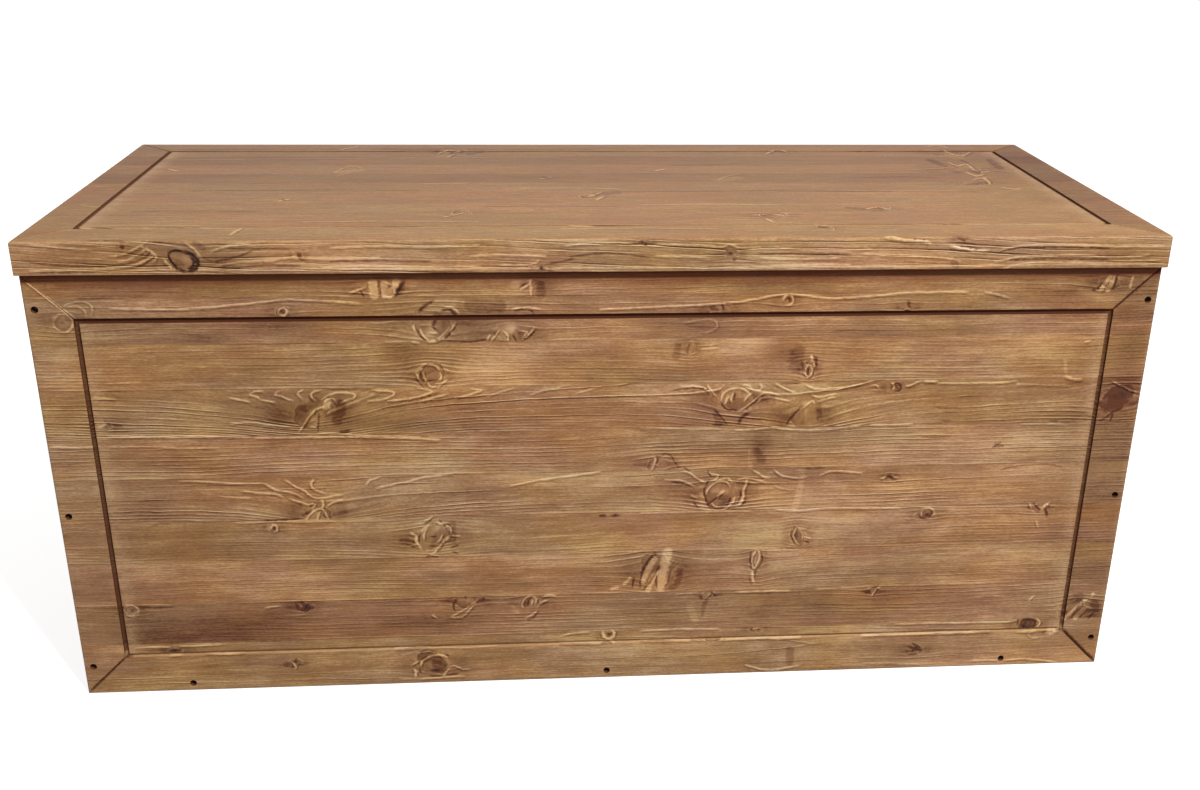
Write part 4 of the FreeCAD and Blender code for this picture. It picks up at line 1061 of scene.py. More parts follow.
# kind of knot: darkness, bright rim, pull on the rings, crack, smudge at its sides, taper
knotKinds = {
    "eye": (0.10, 1.0, 0.15, 0.9, 0.80, 0.0), "dark": (1.10, 0.55, 0.0, 0.4, 0.6, 0.0),
    "ghost": (0.0, 0.55, 0.1, 0.2, 0.25, 0.0), "pale": (-1.0, 0.8, 0.3, 1.0, 0.6, 0.35),
    "spike": (-0.4, 0.8, 1.7, 1.0, 0.9, 0.85), "bark": (0.10, 0.10, -0.4, 0.0, 0.3, 0.0),
    "star": (0.55, 0.8, 0.0, 1.0, 0.4, 0.0), "chip": (-1.6, 0.3, 0.0, 0.3, 0.2, 0.0),
    "drawn": (0.12, 0.14, 0.15, 0.0, 0.50, 0.0), "drawnTip": (0.0, 0.10, 1.7, 0.0, 0.75, 0.0),
    "drawnDark": (0.65, 0.16, 0.0, 0.0, 0.55, 0.0),
}
knotScatter = {"every": 230.0, "smallest": 3.0, "largest": 13.0, "tilt": 0.45, "seeds": 30,
               "kinds": ("eye", "eye", "dark", "ghost", "star", "pale", "spike", "eye")}
# front staves from the floor up: grey levels, warmth, ring spacing, contrast, pith below the face,
# pith above the middle, lean of the pith across, lean into the board
frontStaves = [
    (6, 0.02, 4.0, 0.75, 40, 8, 0.010, 0.010), (-8, -0.10, 3.6, 0.55, 22, -60, 0.004, 0.004),
    (3, 0.00, 3.8, 0.55, 30, 55, -0.006, 0.004), (3, -0.03, 3.1, 0.55, 12, -70, 0.000, 0.002),
    (3, -0.05, 2.8, 1.10, 22, 24, 0.004, 0.010), (1, -0.06, 3.5, 0.80, 18, 60, -0.008, 0.004),
    (2, 0.05, 2.7, 1.25, 20, 25, 0.002, 0.012), (8, 0.04, 3.2, 0.45, 10, -75, 0.004, 0.002),
    (-5, -0.06, 3.6, 0.50, 30, 40, 0.006, 0.004), (-5, 0.06, 3.8, 0.75, 14, 60, 0.0, 0.002),
]
# lid staves from the front back: levels of the first, a painted shade that darkens each next one as light falls from
# the front, more warmth, share of the contrast
lidStaves = {"tone": 4.0, "backShadeStep": -2.0, "hue": 0.07, "contrast": 0.7}
surfaceLook = {
    "far": 60.0, "noJoint": 50.0,                      # where no knot or joint is near
    "sideSmudge": (1.8, 0.8, 0.95),                    # knot radii: middle and spread along the grain, spread across
    "endSmudge": (1.1, 1.4, 0.5, 0.35),                # spread along, middle and spread across, and the share
    "stainDepth": 3.0, "smallStain": 25.0,             # a small stain stops at the joints of its stave
    "outer": 0.45, "offArris": 0.8, "recessDepth": 1.6, "recessLeast": 0.92, "insideFrom": 0.25,
    "arrisWearAndHighlight": (4.0, 0.9), "lineWear": (7.0, 2.0),   # width and share, middle and width, and gap to the line
    "paintedBandUnderLid": (8.5, 1.6, 0.88),                      # height of the painted shadow band under the lid, its soft edge and strength
    "edgeTurn": 0.02, "endTurn": 0.8,                  # how far a face has turned to count as edge or end
}


def rounded(numbers):
    # a drawn line with its corners rounded by a point in the middle of each bent piece
    places = [Vector(pair) for pair in zip(numbers[0::2], numbers[1::2])]
    ends, line = [places[0]] + places + [places[-1]], []
    for before, a, b, after in zip(ends, ends[1:], ends[2:], ends[3:]):
        straight = (a + b) / 2
        middle = straight + (straight - (before + after) / 2) / 8
        line += [a, middle] if (middle - straight).length > markLook["bend"] else [a]
    return line + [places[-1]]


def markSegments(marks, axis, plane, pixel, share):
    # straight pieces of the marks: both ends, half width, grey levels, start on the line, length of the line
    rows, cross = {"thin": [], "wide": []}, planeAxes[axis][1]
    for kind, lines in marks.items():
        level, half = markKinds[kind]
        for line in lines:
            group, size, numbers = ("thin", half, line) if half else ("wide", line[0], line[1:])
            ends = [onPlane(px, py, axis, plane) for px, py in rounded(numbers)]
            whole, start = sum((b - a).length for a, b in zip(ends, ends[1:])), 0.0
            for a, b in zip(ends, ends[1:]):
                rows[group].append((a.x, a[cross], b.x, b[cross], size * markLook[pixel], level * share, start, whole))
                start += (b - a).length
    return {group: np.array(values) for group, values in rows.items()}


def alongSegments(places, rows):
    # millimetres along each segment and to its upper or left side, and its length
    run = rows[..., 2:4] - rows[..., 0:2]
    length = np.sqrt((run ** 2).sum(axis=-1))
    way = run / length[..., None]
    side = np.stack([-way[..., 1], way[..., 0]], axis=-1)
    side = side * np.where(np.abs(side[..., 1]) > 0.25, np.sign(side[..., 1]), -np.sign(side[..., 0]))[..., None]
    offset = places - rows[..., 0:2]
    return (offset * way).sum(axis=-1), (offset * side).sum(axis=-1), length


def nearestSegments(places, rows):
    # the two nearest segments of each place, and how far away they are
    chosen, away = [], []
    broad = np.where(rows[:, 4] > markLook["wide"], rows[:, 4], 0.0)
    for part in np.array_split(places, max(1, len(places) // markLook["atOnce"])):
        t, d, length = alongSegments(part[:, None, :], rows[None, :, :])
        past = np.maximum(np.maximum(-t, t - length), 0.0)
        gap = np.sqrt(d ** 2 + past ** 2) - broad[None, :]
        order = np.argsort(gap, axis=1)[:, :2]
        chosen.append(order)
        away.append(np.take_along_axis(gap, order, axis=1))
    return np.concatenate(chosen), np.concatenate(away)


def markFields(name, board, at):
    # place of each corner on the nearest marks of its face, in half widths, and their grey levels
    points, middles, owner = at["points"], at["middles"], at["owner"]
    far = surfaceLook["far"]
    columns = (("markWide", "wide", 0), ("markNear", "thin", 0), ("markNext", "thin", 1))
    values = {key: np.full((len(points), 3), (far, far, 0.0)) for key, group, pick in columns}
    levels = np.zeros((len(points), 3))
    free = np.ones(len(middles), dtype=bool)
    for marks, axis, side, pixel, share in boardMarks.get(name, []):
        plane, kept = board[side][axisIndex[axis]], planeAxes[axis]
        faces = np.flatnonzero((np.abs(middles[:, axisIndex[axis]] - plane) < markLook["nearPlane"]) & free)
        free[faces] = False
        rank = np.full(len(middles), -1)
        rank[faces] = np.arange(len(faces))
        mine = np.flatnonzero(rank[owner] >= 0)
        segments = markSegments(marks, axis, plane, pixel, share)
        for column, (key, group, pick) in enumerate(columns):
            chosen = nearestSegments(middles[faces][:, kept], segments[group])[0][:, pick]
            rows = segments[group][chosen[rank[owner[mine]]]]
            t, d, length = alongSegments(points[mine][:, kept], rows)
            half, level, start, whole = rows[:, 4:8].T
            values[key][mine] = np.stack([d / half, (t - length / 2) / half, length / 2 / half], axis=1)
            travelled = start + np.clip(t, 0, length)
            fadeLength = np.minimum(markLook["fade"], whole * markLook["fadeShare"])
            fade = np.clip(np.minimum(travelled, whole - travelled) / fadeLength + markLook["least"], 0, 1)
            levels[mine, column] = level * (1.0 if group == "wide" else fade)
    return {**values, "markLevel": levels}


def staveLimits(board):
    v = board["across"]
    marks = [board["low"][v]] + list(board["seams"]) + [board["high"][v]]
    return list(zip(marks, marks[1:]))


def boardStaves(name, board, chance):
    staves = []
    for index, (start, end) in enumerate(staveLimits(board)):
        if name == "front_panel":
            tone, hue, spacing, contrast, below, above, lean, sink = frontStaves[index]
        else:
            tone, hue = chance.uniform(-8, 6), chance.uniform(-0.06, 0.08)
            spacing, contrast = chance.uniform(3.2, 4.4), chance.uniform(0.45, 1.05)
            below = chance.uniform(8, 40)
            above, lean = chance.choice((-1, 1)) * chance.uniform(5, 75), chance.uniform(-0.01, 0.01)
            sink = chance.uniform(-0.04, 0.04)
        if name == "lid_panel":
            # each stave further back is painted darker: painted shade of light that falls from the front
            tone, hue = lidStaves["tone"] + lidStaves["backShadeStep"] * index, hue + lidStaves["hue"]
            contrast = contrast * lidStaves["contrast"]
        staves.append({"middle": (start + end) / 2, "tone": tone, "hue": hue, "spacing": spacing,
                       "contrast": contrast, "below": below, "above": above, "lean": lean, "sink": sink,
                       "shift": chance.uniform(0, 900), "seed": chance.uniform(0, 40)})
    return staves


def pixelKnots(entries, axis, plane):
    # knots measured in the picture, brought onto a face of the chest
    knots, (along, across) = [], planeAxes[axis]
    for px, py, sizeU, sizeV, kind in entries:
        middle = onPlane(px, py, axis, plane)
        sideways, upwards = onPlane(px + sizeU, py, axis, plane), onPlane(px, py - sizeV, axis, plane)
        knots.append((middle[along], middle[across], abs(sideways[along] - middle[along]),
                      abs(upwards[across] - middle[across]), kind))
    return knots


def scatteredKnots(board, chance):
    u, every, knots = board["along"], knotScatter["every"], []
    for start, end in staveLimits(board):
        place = board["low"][u] + chance.uniform(0.1, 0.9) * every
        while place < board["high"][u]:
            size = chance.uniform(knotScatter["smallest"], knotScatter["largest"])
            knots.append((place, chance.uniform(start, end), size * chance.uniform(0.8, 1.3), size,
                          chance.choice(knotScatter["kinds"])))
            place += chance.uniform(0.5, 1.5) * every
    return knots


def knotTable(knots, chance):
    # one row for each knot: u, v, sizes, looks, a tilt and a seed
    tilt, seeds = knotScatter["tilt"], knotScatter["seeds"]
    return np.array([[*places, *knotKinds[kind], chance.uniform(-tilt, tilt), chance.uniform(0, seeds)]
                     for *places, kind in knots]).reshape(-1, 12)


def boardKnots(name, board, chance):
    # knots of the broad faces, and of the edge along the grain
    low, high, onEdge = board["low"], board["high"], {**board, "across": board["depth"], "seams": []}
    if name == "front_panel":
        face, edge = pixelKnots(frontKnots, "y", low[1]), scatteredKnots(onEdge, chance)
    elif name == "lid_panel":
        face, edge = pixelKnots(lidTopKnots, "z", high[2]), pixelKnots(lidFrontKnots, "y", low[1])
    else:
        face, edge = scatteredKnots(board, chance), scatteredKnots(onEdge, chance)
    return knotTable(face, chance), knotTable(edge, chance)


def faceCorners(board, data):
    # corners of the faces: places in millimetres, face, stave and depth of each, and whether it is on an edge or end
    corners, faces = len(data.loops), len(data.polygons)

    def read(items, key, count, kind=np.float64):
        values = np.zeros(count, dtype=kind)
        items.foreach_get(key, values)
        return values

    u, v, w = board["along"], board["across"], board["depth"]
    points = read(data.vertices, "co", len(data.vertices) * 3).reshape(-1, 3)
    points = points[read(data.loops, "vertex_index", corners, np.int64)] * metre
    totals = read(data.polygons, "loop_total", faces, np.int64)
    owner = np.repeat(np.arange(faces), totals)
    normals = np.abs(read(data.polygons, "normal", faces * 3).reshape(-1, 3))
    middles = np.stack([np.bincount(owner, points[:, i], faces) / totals for i in range(3)], axis=1)
    fromLimits = np.stack([points[:, u] - board["low"][u], board["high"][u] - points[:, u],
                           points[:, v] - board["low"][v], board["high"][v] - points[:, v]], axis=1)
    return {"points": points, "owner": owner, "middles": middles, "fromLimits": fromLimits,
            "stave": np.searchsorted(board["seams"], middles[:, v])[owner],
            "deep": (board["facePlane"] - points[:, w]) * board["out"],
            "faceDeep": ((board["facePlane"] - middles[:, w]) * board["out"])[owner],
            "isEdge": (normals[:, v] > normals[:, w] + surfaceLook["edgeTurn"])[owner],
            "isEnd": (normals[:, u] > surfaceLook["endTurn"])[owner]}


def knotFields(board, tables, at):
    # nearest knot of each face, the flow round the others, and the smudges beside them all
    points, faceMiddles, corners = at["points"], at["middles"][at["owner"]], len(at["points"])
    far, (besideAlong, spreadAlong, spreadAcross) = surfaceLook["far"], surfaceLook["sideSmudge"]
    endAlong, endMiddle, endAcross, endShare = surfaceLook["endSmudge"]
    found = {key: np.zeros((corners, 3)) for key in ("looks", "knotMore", "knotForm")}
    found["knot"] = np.full((corners, 3), (far, far, 0.0))
    smudge = np.zeros(corners)
    faceKnots, edgeKnots = tables
    knotStave = np.searchsorted(board["seams"], faceKnots[:, 1])
    groups = [(faceKnots[knotStave == stave], ~at["isEdge"] & (at["stave"] == stave), board["across"])
              for stave in range(len(board["seams"]) + 1)]
    for rows, chosen, cross in groups + [(edgeKnots, at["isEdge"], board["depth"])]:
        mine = np.flatnonzero(chosen & ~at["isEnd"])
        if not len(rows) or not len(mine):
            continue

        def inRadii(places):
            away = places[mine][:, (board["along"], cross)][:, None, :] - rows[None, :, 0:2]
            return np.moveaxis(away / rows[None, :, 2:4], 2, 0)

        nx, nz = inRadii(points)
        nearest, pick = np.argmin((inRadii(faceMiddles) ** 2).sum(axis=0), axis=1), np.arange(len(mine))
        own = rows[nearest]
        flows = knotFlow(nx, nz, rows[:, 3], rows[:, 6])
        otherFlow = flows.sum(axis=1) - flows[pick, nearest]
        side = np.exp(-((np.abs(nx) - besideAlong) / spreadAlong) ** 2 - (nz / spreadAcross) ** 2)
        above = np.exp(-(nx / endAlong) ** 2 - ((np.abs(nz) - endMiddle) / endAcross) ** 2) * endShare
        smudge[mine] = ((side + above) * rows[:, 8]).sum(axis=1)
        found["knot"][mine] = np.stack([nx[pick, nearest], nz[pick, nearest], own[:, 3]], axis=1)
        found["looks"][mine, :2] = own[:, 4:6]
        found["knotMore"][mine] = own[:, (6, 7, 11)]
        found["knotForm"][mine] = np.stack([own[:, 9], own[:, 10], otherFlow], axis=1)
    return found, smudge


def stainField(name, board, at):
    # soft dark stains of the front faces
    points, plane = at["points"], board["low"][1]
    onFront = np.exp(-((points[:, 1] - plane) / surfaceLook["stainDepth"]) ** 2)
    stain = np.zeros(len(points))
    for px, py, sizeU, sizeV, amount in boardStains.get(name, []):
        middle = onPlane(px, py, "y", plane)
        spot = np.exp(-((points[:, 0] - middle.x) / sizeU) ** 2 - ((points[:, 2] - middle.z) / sizeV) ** 2)
        if name == "front_panel" and sizeV < surfaceLook["smallStain"]:
            spot = spot * (at["stave"] == np.searchsorted(board["seams"], middle.z))
        stain += amount * spot * onFront
    return stain


def trimFields(name, board, at):
    # depth inside the routed line and recesses, rubbed places with a painted highlight on the arrises, stain and
    # painted shading of the line, painted shadow under the lid, joints
    points, deep, fromLimits, look = at["points"], at["deep"], at["fromLimits"], surfaceLook
    v, fromEdge = board["across"], fromLimits.min(axis=1)
    thickness = board["high"][board["depth"]] - board["low"][board["depth"]]
    outer = deep < thickness * look["outer"]
    offArris = outer & (fromEdge > board["eased"] + look["offArris"])
    recess = np.where(offArris, np.clip(deep / look["recessDepth"], 0, 1), 0.0)
    inside = offArris & (at["faceDeep"] > look["insideFrom"])
    recess = np.where(inside, np.maximum(recess, look["recessLeast"]), recess)
    # paler near the arrises: wear, and a painted highlight where light catches the edge
    wearWidth, wearShare = look["arrisWearAndHighlight"]
    fromArris = fromEdge + np.minimum(deep, thickness - deep)
    wearAndHighlight = np.clip(1 - fromArris / wearWidth, 0, 1) * (wearShare if board["eased"] else 0.0)
    lineStainAndShading, paintedLidShadow = np.full(len(points), sunkRecess["stain"]), np.zeros(len(points))
    frameTone = np.zeros(len(points))
    if board["framed"]:
        fromLine = fromLimits - routed["inset"]
        fromEnds, fromSides = fromLine[:, :2].min(axis=1), fromLine[:, 2:].min(axis=1)
        fromRun = np.abs(fromLine)
        onRun = fromRun.min(axis=1) < routed["width"]
        # each routed run painted darker by its share, stain with painted shade, and paler where the share is negative,
        # a painted highlight
        runStainAndShading = np.array(board.get("runStainAndShading", routed["stain"]))[np.argmin(fromRun, axis=1)]
        lineStainAndShading = np.where(onRun, runStainAndShading, lineStainAndShading)
        rightHalf, upperHalf = (fromLimits[:, 0] > fromLimits[:, 1]), (fromLimits[:, 2] >= fromLimits[:, 3])
        corner = np.where(upperHalf, np.where(rightHalf, 2, 3), np.where(rightHalf, 1, 0))
        onScore = np.abs(fromEnds - fromSides) < 2 * scored["width"]
        onMitre = (fromLine.min(axis=1) < -routed["width"]) & onScore & ~onRun
        # scored mitres painted darker or paler corner by corner: stain, with painted shade and painted highlight on
        # their walls
        lineStainAndShading = np.where(onMitre, np.array(board.get("mitreStainAndShading", scored["stain"]))[corner], lineStainAndShading)
        rubWidth, rubGap = look["lineWear"]
        besideLine = np.exp(-((fromEnds - rubWidth) / rubWidth) ** 2)
        wearAndHighlight = wearAndHighlight + besideLine * outer * (fromEdge > routed["inset"] + rubGap)
        inFrame = (fromLine.min(axis=1) < 0) & outer & ~at["isEdge"]
        member = np.array(board.get("frameTone", (0.0,) * 4))[np.argmin(fromLine, axis=1)]
        frameTone = np.where(inFrame, member, 0.0)
    if name == "front_panel":
        # painted shadow of the lid's overhang along the top of the front face
        band, soft, strength = look["paintedBandUnderLid"]
        paintedLidShadow = np.clip((band - fromLimits[:, 3]) / soft, 0, 1) * strength * (outer & ~at["isEdge"])
    joint = np.full(len(points), look["noJoint"])
    for seam in board["seams"]:
        away = points[:, v] - seam
        joint = np.where(np.abs(away) < np.abs(joint), away, joint)
    joint = np.where(at["isEnd"], look["noJoint"], joint)
    return recess, wearAndHighlight, lineStainAndShading, paintedLidShadow, joint, frameTone


def figureFaces(name, board, data):
    chance = random.Random(board["seed"])
    staves = boardStaves(name, board, chance)
    tables = boardKnots(name, board, chance)
    at = faceCorners(board, data)
    isEdge, lengthwise, crosswise = at["isEdge"], at["points"][:, board["along"]], at["points"][:, board["across"]]
    stave = {key: np.array([entry[key] for entry in staves])[at["stave"]] for key in staves[0]}
    across = crosswise - stave["middle"] - stave["above"] + stave["lean"] * lengthwise
    depth = at["deep"] + stave["below"] + stave["sink"] * lengthwise
    layers, smudge = knotFields(board, tables, at)
    recess, wearAndHighlight, lineStainAndShading, paintedLidShadow, joint, frameTone = trimFields(name, board, at)
    layers["looks"][:, 2] = np.where(isEdge, 1.0, board.get("lively", 1.0))
    layers.update(markFields(name, board, at))

    tone, hue, spacing, contrast = (stave[key] for key in ("tone", "hue", "spacing", "contrast"))
    if "edgeGrain" in board:
        spacing, contrast = (np.where(isEdge, edge, face)
                             for edge, face in zip(board["edgeGrain"], (spacing, contrast)))
    if "edgeLook" in board:
        tone, hue = (value + np.where(isEdge, edge, face)
                     for value, edge, face in zip((tone, hue), board["edgeLook"], board["faceLook"]))
    tone = tone + frameTone
    if "drift" in board:
        lower = at["fromLimits"][:, 2] < at["fromLimits"][:, 3]
        tone = tone + lengthwise / board["high"][board["along"]] * np.where(lower, *board["drift"])

    columns = {
        "ring": (np.where(isEdge, depth, across), np.where(isEdge, across, depth), lengthwise + stave["shift"]),
        "stave": (tone, spacing, contrast), "staveMore": (hue, stave["seed"], at["isEnd"] * 1.0),
        "surface": (smudge + stainField(name, board, at), recess, wearAndHighlight), "trim": (joint, lineStainAndShading, paintedLidShadow),
    }
    layers.update({key: np.stack(values, axis=1) for key, values in columns.items()})
    for key, values in layers.items():
        layer = data.attributes.new(key, "FLOAT_VECTOR", "CORNER")
        layer.data.foreach_set("vector", np.ascontiguousarray(values, dtype=np.float32).ravel())


for name, board in boards.items():
    readyBoard(board, *(Vector(corner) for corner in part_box(name)))
    made = boardMesh(name, board)
    data = made.data
    figureFaces(name, board, data)
    data.materials.clear()
    data.materials.append(pine)
    data.polygons.foreach_set("use_smooth", [True] * len(data.polygons))
    data.set_sharp_from_angle(angle=math.radians(boardMake["sharp"]))
    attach(made, board["body"])
    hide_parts(name)
    print("board", name, len(data.polygons), "faces")


# Metal: zinc-plated hinges and stays, dark sunk screws

metals = {
    "zinc_plate": {"bright": shade(196, 194, 188), "dull": shade(150, 149, 146), "roughness": 0.30},
    "stay_zinc": {"bright": shade(188, 187, 184), "dull": shade(140, 140, 138), "roughness": 0.34},
    "dark_screw": {"bright": shade(74, 66, 60), "dull": shade(38, 32, 30), "roughness": 0.50},
    "bright_screw": {"bright": shade(205, 200, 186), "dull": shade(150, 144, 130), "roughness": 0.28},
}
metalGrain = {"spangle": 160.0, "scuffs": (60.0, 900.0), "relief": 0.00008}   # for each metre, and metres


def metalMaterial(name, look):
    material, field, shader = newMaterial(name)
    x, y, z = field.node("ShaderNodeTexCoord", output="Object").split()
    fine, (lengthwise, crosswise) = metalGrain["spangle"], metalGrain["scuffs"]
    spangle = field.noise(field.vector(x * fine, y * fine, z * fine), 3.0, 0.6)
    scuffs = field.noise(field.vector(x * lengthwise, y * crosswise, z * crosswise), 2.0, 0.6)
    colour = (spangle * 0.8 + scuffs * 0.3).between(0.3, 0.8).mixed(look["bright"], look["dull"])
    feed(shader, "Base Color", colour)
    feed(shader, "Roughness", look["roughness"] + spangle * 0.18 + scuffs * 0.08)
    feed(shader, "Normal", field.node("ShaderNodeBump", None, {"Strength": 0.4, "Distance": metalGrain["relief"],
                                                               "Height": spangle + scuffs}))
    shader.inputs["Metallic"].default_value = 1.0
    return material


metalOf = {name: metalMaterial(name, look) for name, look in metals.items()}
for name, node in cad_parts.items():
    kind = "zinc_plate" if name.startswith("hinge_") else "stay_zinc" if name.startswith("stay_") else None
    if kind and not name.endswith("_screws"):
        node.data.materials.clear()
        node.data.materials.append(metalOf[kind])
print("metal made")


# Screws: one tree of Geometry Nodes sets a cross-recessed head at each place

screwGroups = {
    "front_screws": ("case", (0, -1, 0), "sunk"), "back_screws": ("case", (0, 1, 0), "sunk"),
    "left_end_screws": ("case", (-1, 0, 0), "sunk"), "right_end_screws": ("case", (1, 0, 0), "sunk"),
    "hinge_case_screws": ("case", (0, 0, 1), "fitting"), "hinge_lid_screws": ("lid", (0, 0, -1), "fitting"),
    "batten_screws": ("lid", (0, 0, -1), "batten"), "stay_bracket_screws": ("lid", (0, 0, -1), "fitting"),
    "stay_plate_screws": ("case", None, "fitting"),    # these face the middle of the chest
}
screwKinds = {
    "sunk": {"Head radius": 2.9, "Cone height": 2.0, "Shank radius": 2.0, "Length": 45.0, "Cross size": 3.0,
             "metal": "dark_screw", "slot": "sunk_screw_steel"},
    "batten": {"Head radius": 3.8, "Cone height": 2.4, "Shank radius": 1.9, "Length": 38.0, "Cross size": 4.2,
               "metal": "bright_screw", "slot": "fitting_screw_steel"},
    "fitting": {"Head radius": 3.2, "Cone height": 1.7, "Shank radius": 1.5, "Length": 14.0, "Cross size": 3.6,
                "metal": "bright_screw", "slot": "fitting_screw_steel"},
}
screwSizes = ("Head radius", "Cone height", "Shank radius", "Length", "Cross size")
# shares of the cross size: slot width and depth, radii of the pit, its height and drop; share of the shank at its tip
screwForm = {"slot": (0.24, 0.5), "pit": (0.30, 0.05, 0.42, -0.40), "tip": 0.3, "sides": (28, 8, 10), "spin": 1.57}


def screwTree():
    tree = bpy.data.node_groups.new("cross_screws", "GeometryNodeTree")
    face = tree.interface
    face.new_socket("Places", in_out="INPUT", socket_type="NodeSocketGeometry")
    for name in screwSizes:
        face.new_socket(name, in_out="INPUT", socket_type="NodeSocketFloat")
    face.new_socket("Seed", in_out="INPUT", socket_type="NodeSocketInt")
    face.new_socket("Metal", in_out="INPUT", socket_type="NodeSocketMaterial")
    face.new_socket("Screws", in_out="OUTPUT", socket_type="NodeSocketGeometry")
    field = Field(tree)
    entry = {socket.name: Field(tree, socket) for socket in tree.nodes.new("NodeGroupInput").outputs}

    def lifted(solid, height):
        return field.node("GeometryNodeTransform", None,
                          {"Geometry": solid, "Translation": field.vector(0.0, 0.0, height)})

    def box(x, y, z):
        return lifted(field.node("GeometryNodeMeshCube", None, {"Size": field.vector(x, y, z)}), 0.0)

    def taper(top, bottom, height, lift, sides):
        return lifted(field.node("GeometryNodeMeshCone", None,
                                 {"Vertices": sides, "Side Segments": 1, "Fill Segments": 1, "Radius Top": top,
                                  "Radius Bottom": bottom, "Depth": height}), lift)

    cross, shankRadius, cone = entry["Cross size"], entry["Shank radius"], entry["Cone height"]
    slotWidth, slotDepth = (cross * share for share in screwForm["slot"])
    headSides, pitSides, shankSides = screwForm["sides"]
    head = taper(entry["Head radius"], shankRadius, cone, -cone, headSides)
    pit = taper(*(cross * share for share in screwForm["pit"]), pitSides)
    cut = tree.nodes.new("GeometryNodeMeshBoolean")
    cut.operation, cut.solver = "DIFFERENCE", "EXACT"
    tree.links.new(head.socket, cut.inputs["Mesh 1"])
    for tool in (box(cross, slotWidth, slotDepth), box(slotWidth, cross, slotDepth), pit):
        tree.links.new(tool.socket, cut.inputs["Mesh 2"])
    shank = taper(shankRadius, shankRadius * screwForm["tip"], entry["Length"] - cone, -entry["Length"], shankSides)
    whole = tree.nodes.new("GeometryNodeJoinGeometry")
    tree.links.new(cut.outputs[0], whole.inputs[0])
    tree.links.new(shank.socket, whole.inputs[0])
    facing = field.node("GeometryNodeInputNamedAttribute", {"data_type": "FLOAT_VECTOR"}, {"Name": "facing"})
    aimed = field.node("FunctionNodeAlignRotationToVector", {"axis": "Z"}, {"Vector": facing})
    spin = field.node("FunctionNodeRandomValue", {"data_type": "FLOAT"},
                      {"Min": 0.0, "Max": screwForm["spin"], "Seed": entry["Seed"]}, output=1)
    spun = field.node("FunctionNodeAxisAngleToRotation", None, {"Axis": (0.0, 0.0, 1.0), "Angle": spin})
    turned = field.node("FunctionNodeRotateRotation", {"rotation_space": "LOCAL"},
                        {"Rotation": aimed, "Rotate By": spun})
    points = field.node("GeometryNodeMeshToPoints", None, {"Mesh": entry["Places"]})
    placed = field.node("GeometryNodeInstanceOnPoints", None,
                        {"Points": points, "Instance": Field(tree, whole.outputs[0]), "Rotation": turned})
    real = field.node("GeometryNodeRealizeInstances", None, {"Geometry": placed})
    finished = field.node("GeometryNodeSetMaterial", None, {"Geometry": real, "Material": entry["Metal"]})
    tree.links.new(finished.socket, tree.nodes.new("NodeGroupOutput").inputs[0])
    return tree


def makeScrews(tree):
    identifiers = {item.name: item.identifier for item in tree.interface.items_tree if item.in_out == "INPUT"}
    for seed, (name, (body, way, kind)) in enumerate(screwGroups.items()):
        look = screwKinds[kind]
        facing = (lambda middle: way) if way else (lambda middle: (-math.copysign(1, middle[0]), 0, 0))
        places = screwPlaces(name, facing)
        data = bpy.data.meshes.new(name + "_heads")
        data.from_pydata([place / metre for place, direction in places], [], [])
        layer = data.attributes.new("facing", "FLOAT_VECTOR", "POINT")
        layer.data.foreach_set("vector", [value for place, direction in places for value in direction])
        made = bpy.data.objects.new(name + "_heads", data)
        bpy.context.collection.objects.link(made)
        modifier = made.modifiers.new("screws", "NODES")
        modifier.node_group = tree
        values = {label: look[label] / metre for label in screwSizes}
        for label, value in {**values, "Seed": seed, "Metal": metalOf[look["metal"]]}.items():
            modifier[identifiers[label]] = value
        plain = bakeModifiers(made, name + "_heads")
        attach(made, body)
        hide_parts(name)
        print("screws", name, len(places), len(plain.polygons), "faces")


makeScrews(screwTree())


# Floor, world and lamps

light = {
    "world": 0.27,
    "floor": {"colour": (0.80, 0.80, 0.80, 1.0), "bounce": (0.35, 0.35, 0.35, 1.0), "glow": 0.78, "roughness": 0.9,
              "size": 40.0, "height": -0.0002},
    "lamps": {
        "key": {"place": (1.0, -2.1, 2.65), "aim": (0.0, 0.0, 0.25), "size": (0.28, 0.28), "power": 110.0},
        "back": {"place": (0.0, 2.4, 0.42), "aim": (0.0, 0.0, 0.30), "size": (2.4, 0.6), "power": 12.0},
    },
}


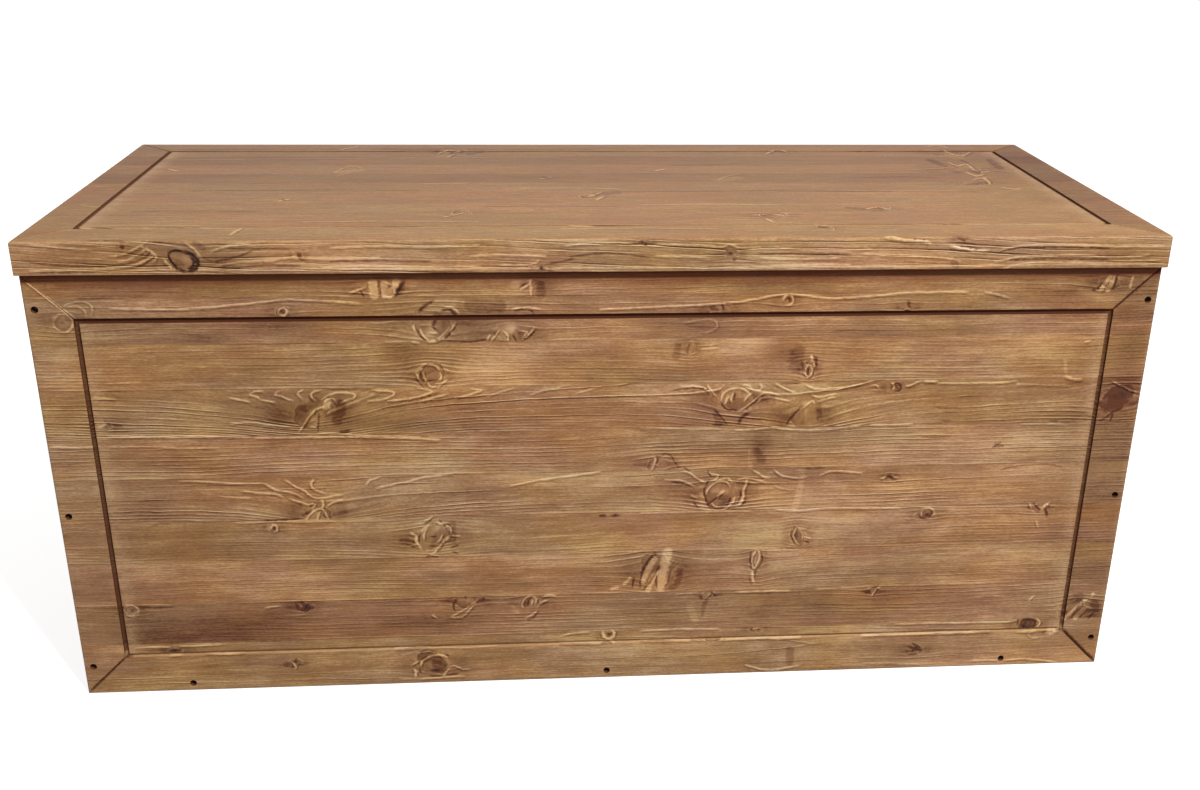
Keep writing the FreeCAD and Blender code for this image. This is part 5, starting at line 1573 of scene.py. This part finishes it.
def seenDirectly(tree):
    # 1 for rays of the camera, of reflections and of clear pieces
    rays = tree.nodes.new("ShaderNodeLightPath")
    camera, glossy, clear = (Field(tree, rays.outputs["Is %s Ray" % kind])
                             for kind in ("Camera", "Glossy", "Transmission"))
    return camera.atLeast(glossy).atLeast(clear)


def makeWorld(strength):
    world = bpy.data.worlds.new("studio")
    world.use_nodes = True
    bpy.context.scene.world = world
    tree = world.node_tree
    background = tree.nodes["Background"]
    background.inputs["Color"].default_value = (1.0, 1.0, 1.0, 1.0)
    feed(background, "Strength", strength + seenDirectly(tree) * (1.0 - strength))


def makeFloor(look):
    bm = bmesh.new()
    bmesh.ops.create_grid(bm, x_segments=4, y_segments=4, size=look["size"] / 2)
    floor = meshObject("floor", bm)
    floor.data.transform(Matrix.Translation((0, 0, look["height"])))
    material, field, shader = newMaterial("pale_floor")
    for name, value in (("Base Color", look["colour"]), ("Roughness", look["roughness"]), ("Specular IOR Level", 0.0)):
        shader.inputs[name].default_value = value
    # bright to the camera, and dimmer to the light that it throws back
    glow = field.node("ShaderNodeEmission", None, {"Strength": look["glow"]})
    bright = field.node("ShaderNodeAddShader", None, {0: Field(shader.id_data, shader.outputs[0]), 1: glow})
    dim = field.node("ShaderNodeBsdfDiffuse", None, {"Color": look["bounce"]})
    pick = field.node("ShaderNodeMixShader", None, {0: seenDirectly(shader.id_data), 1: dim, 2: bright})
    feed(shader.id_data.nodes["Material Output"], "Surface", pick)
    floor.data.materials.append(material)


def makeLamps(lamps):
    for name, look in lamps.items():
        lamp = bpy.data.lights.new(name, "AREA")
        lamp.shape = "RECTANGLE"
        lamp.size, lamp.size_y = look["size"]
        lamp.energy = look["power"]
        made = bpy.data.objects.new(name, lamp)
        toLamp = Vector(look["place"]) - Vector(look["aim"])
        made.matrix_world = Matrix.Translation(look["place"]) @ toLamp.to_track_quat("Z", "Y").to_matrix().to_4x4()
        bpy.context.collection.objects.link(made)


makeWorld(light["world"])
makeFloor(light["floor"])
makeLamps(light["lamps"])
print("stage lit")
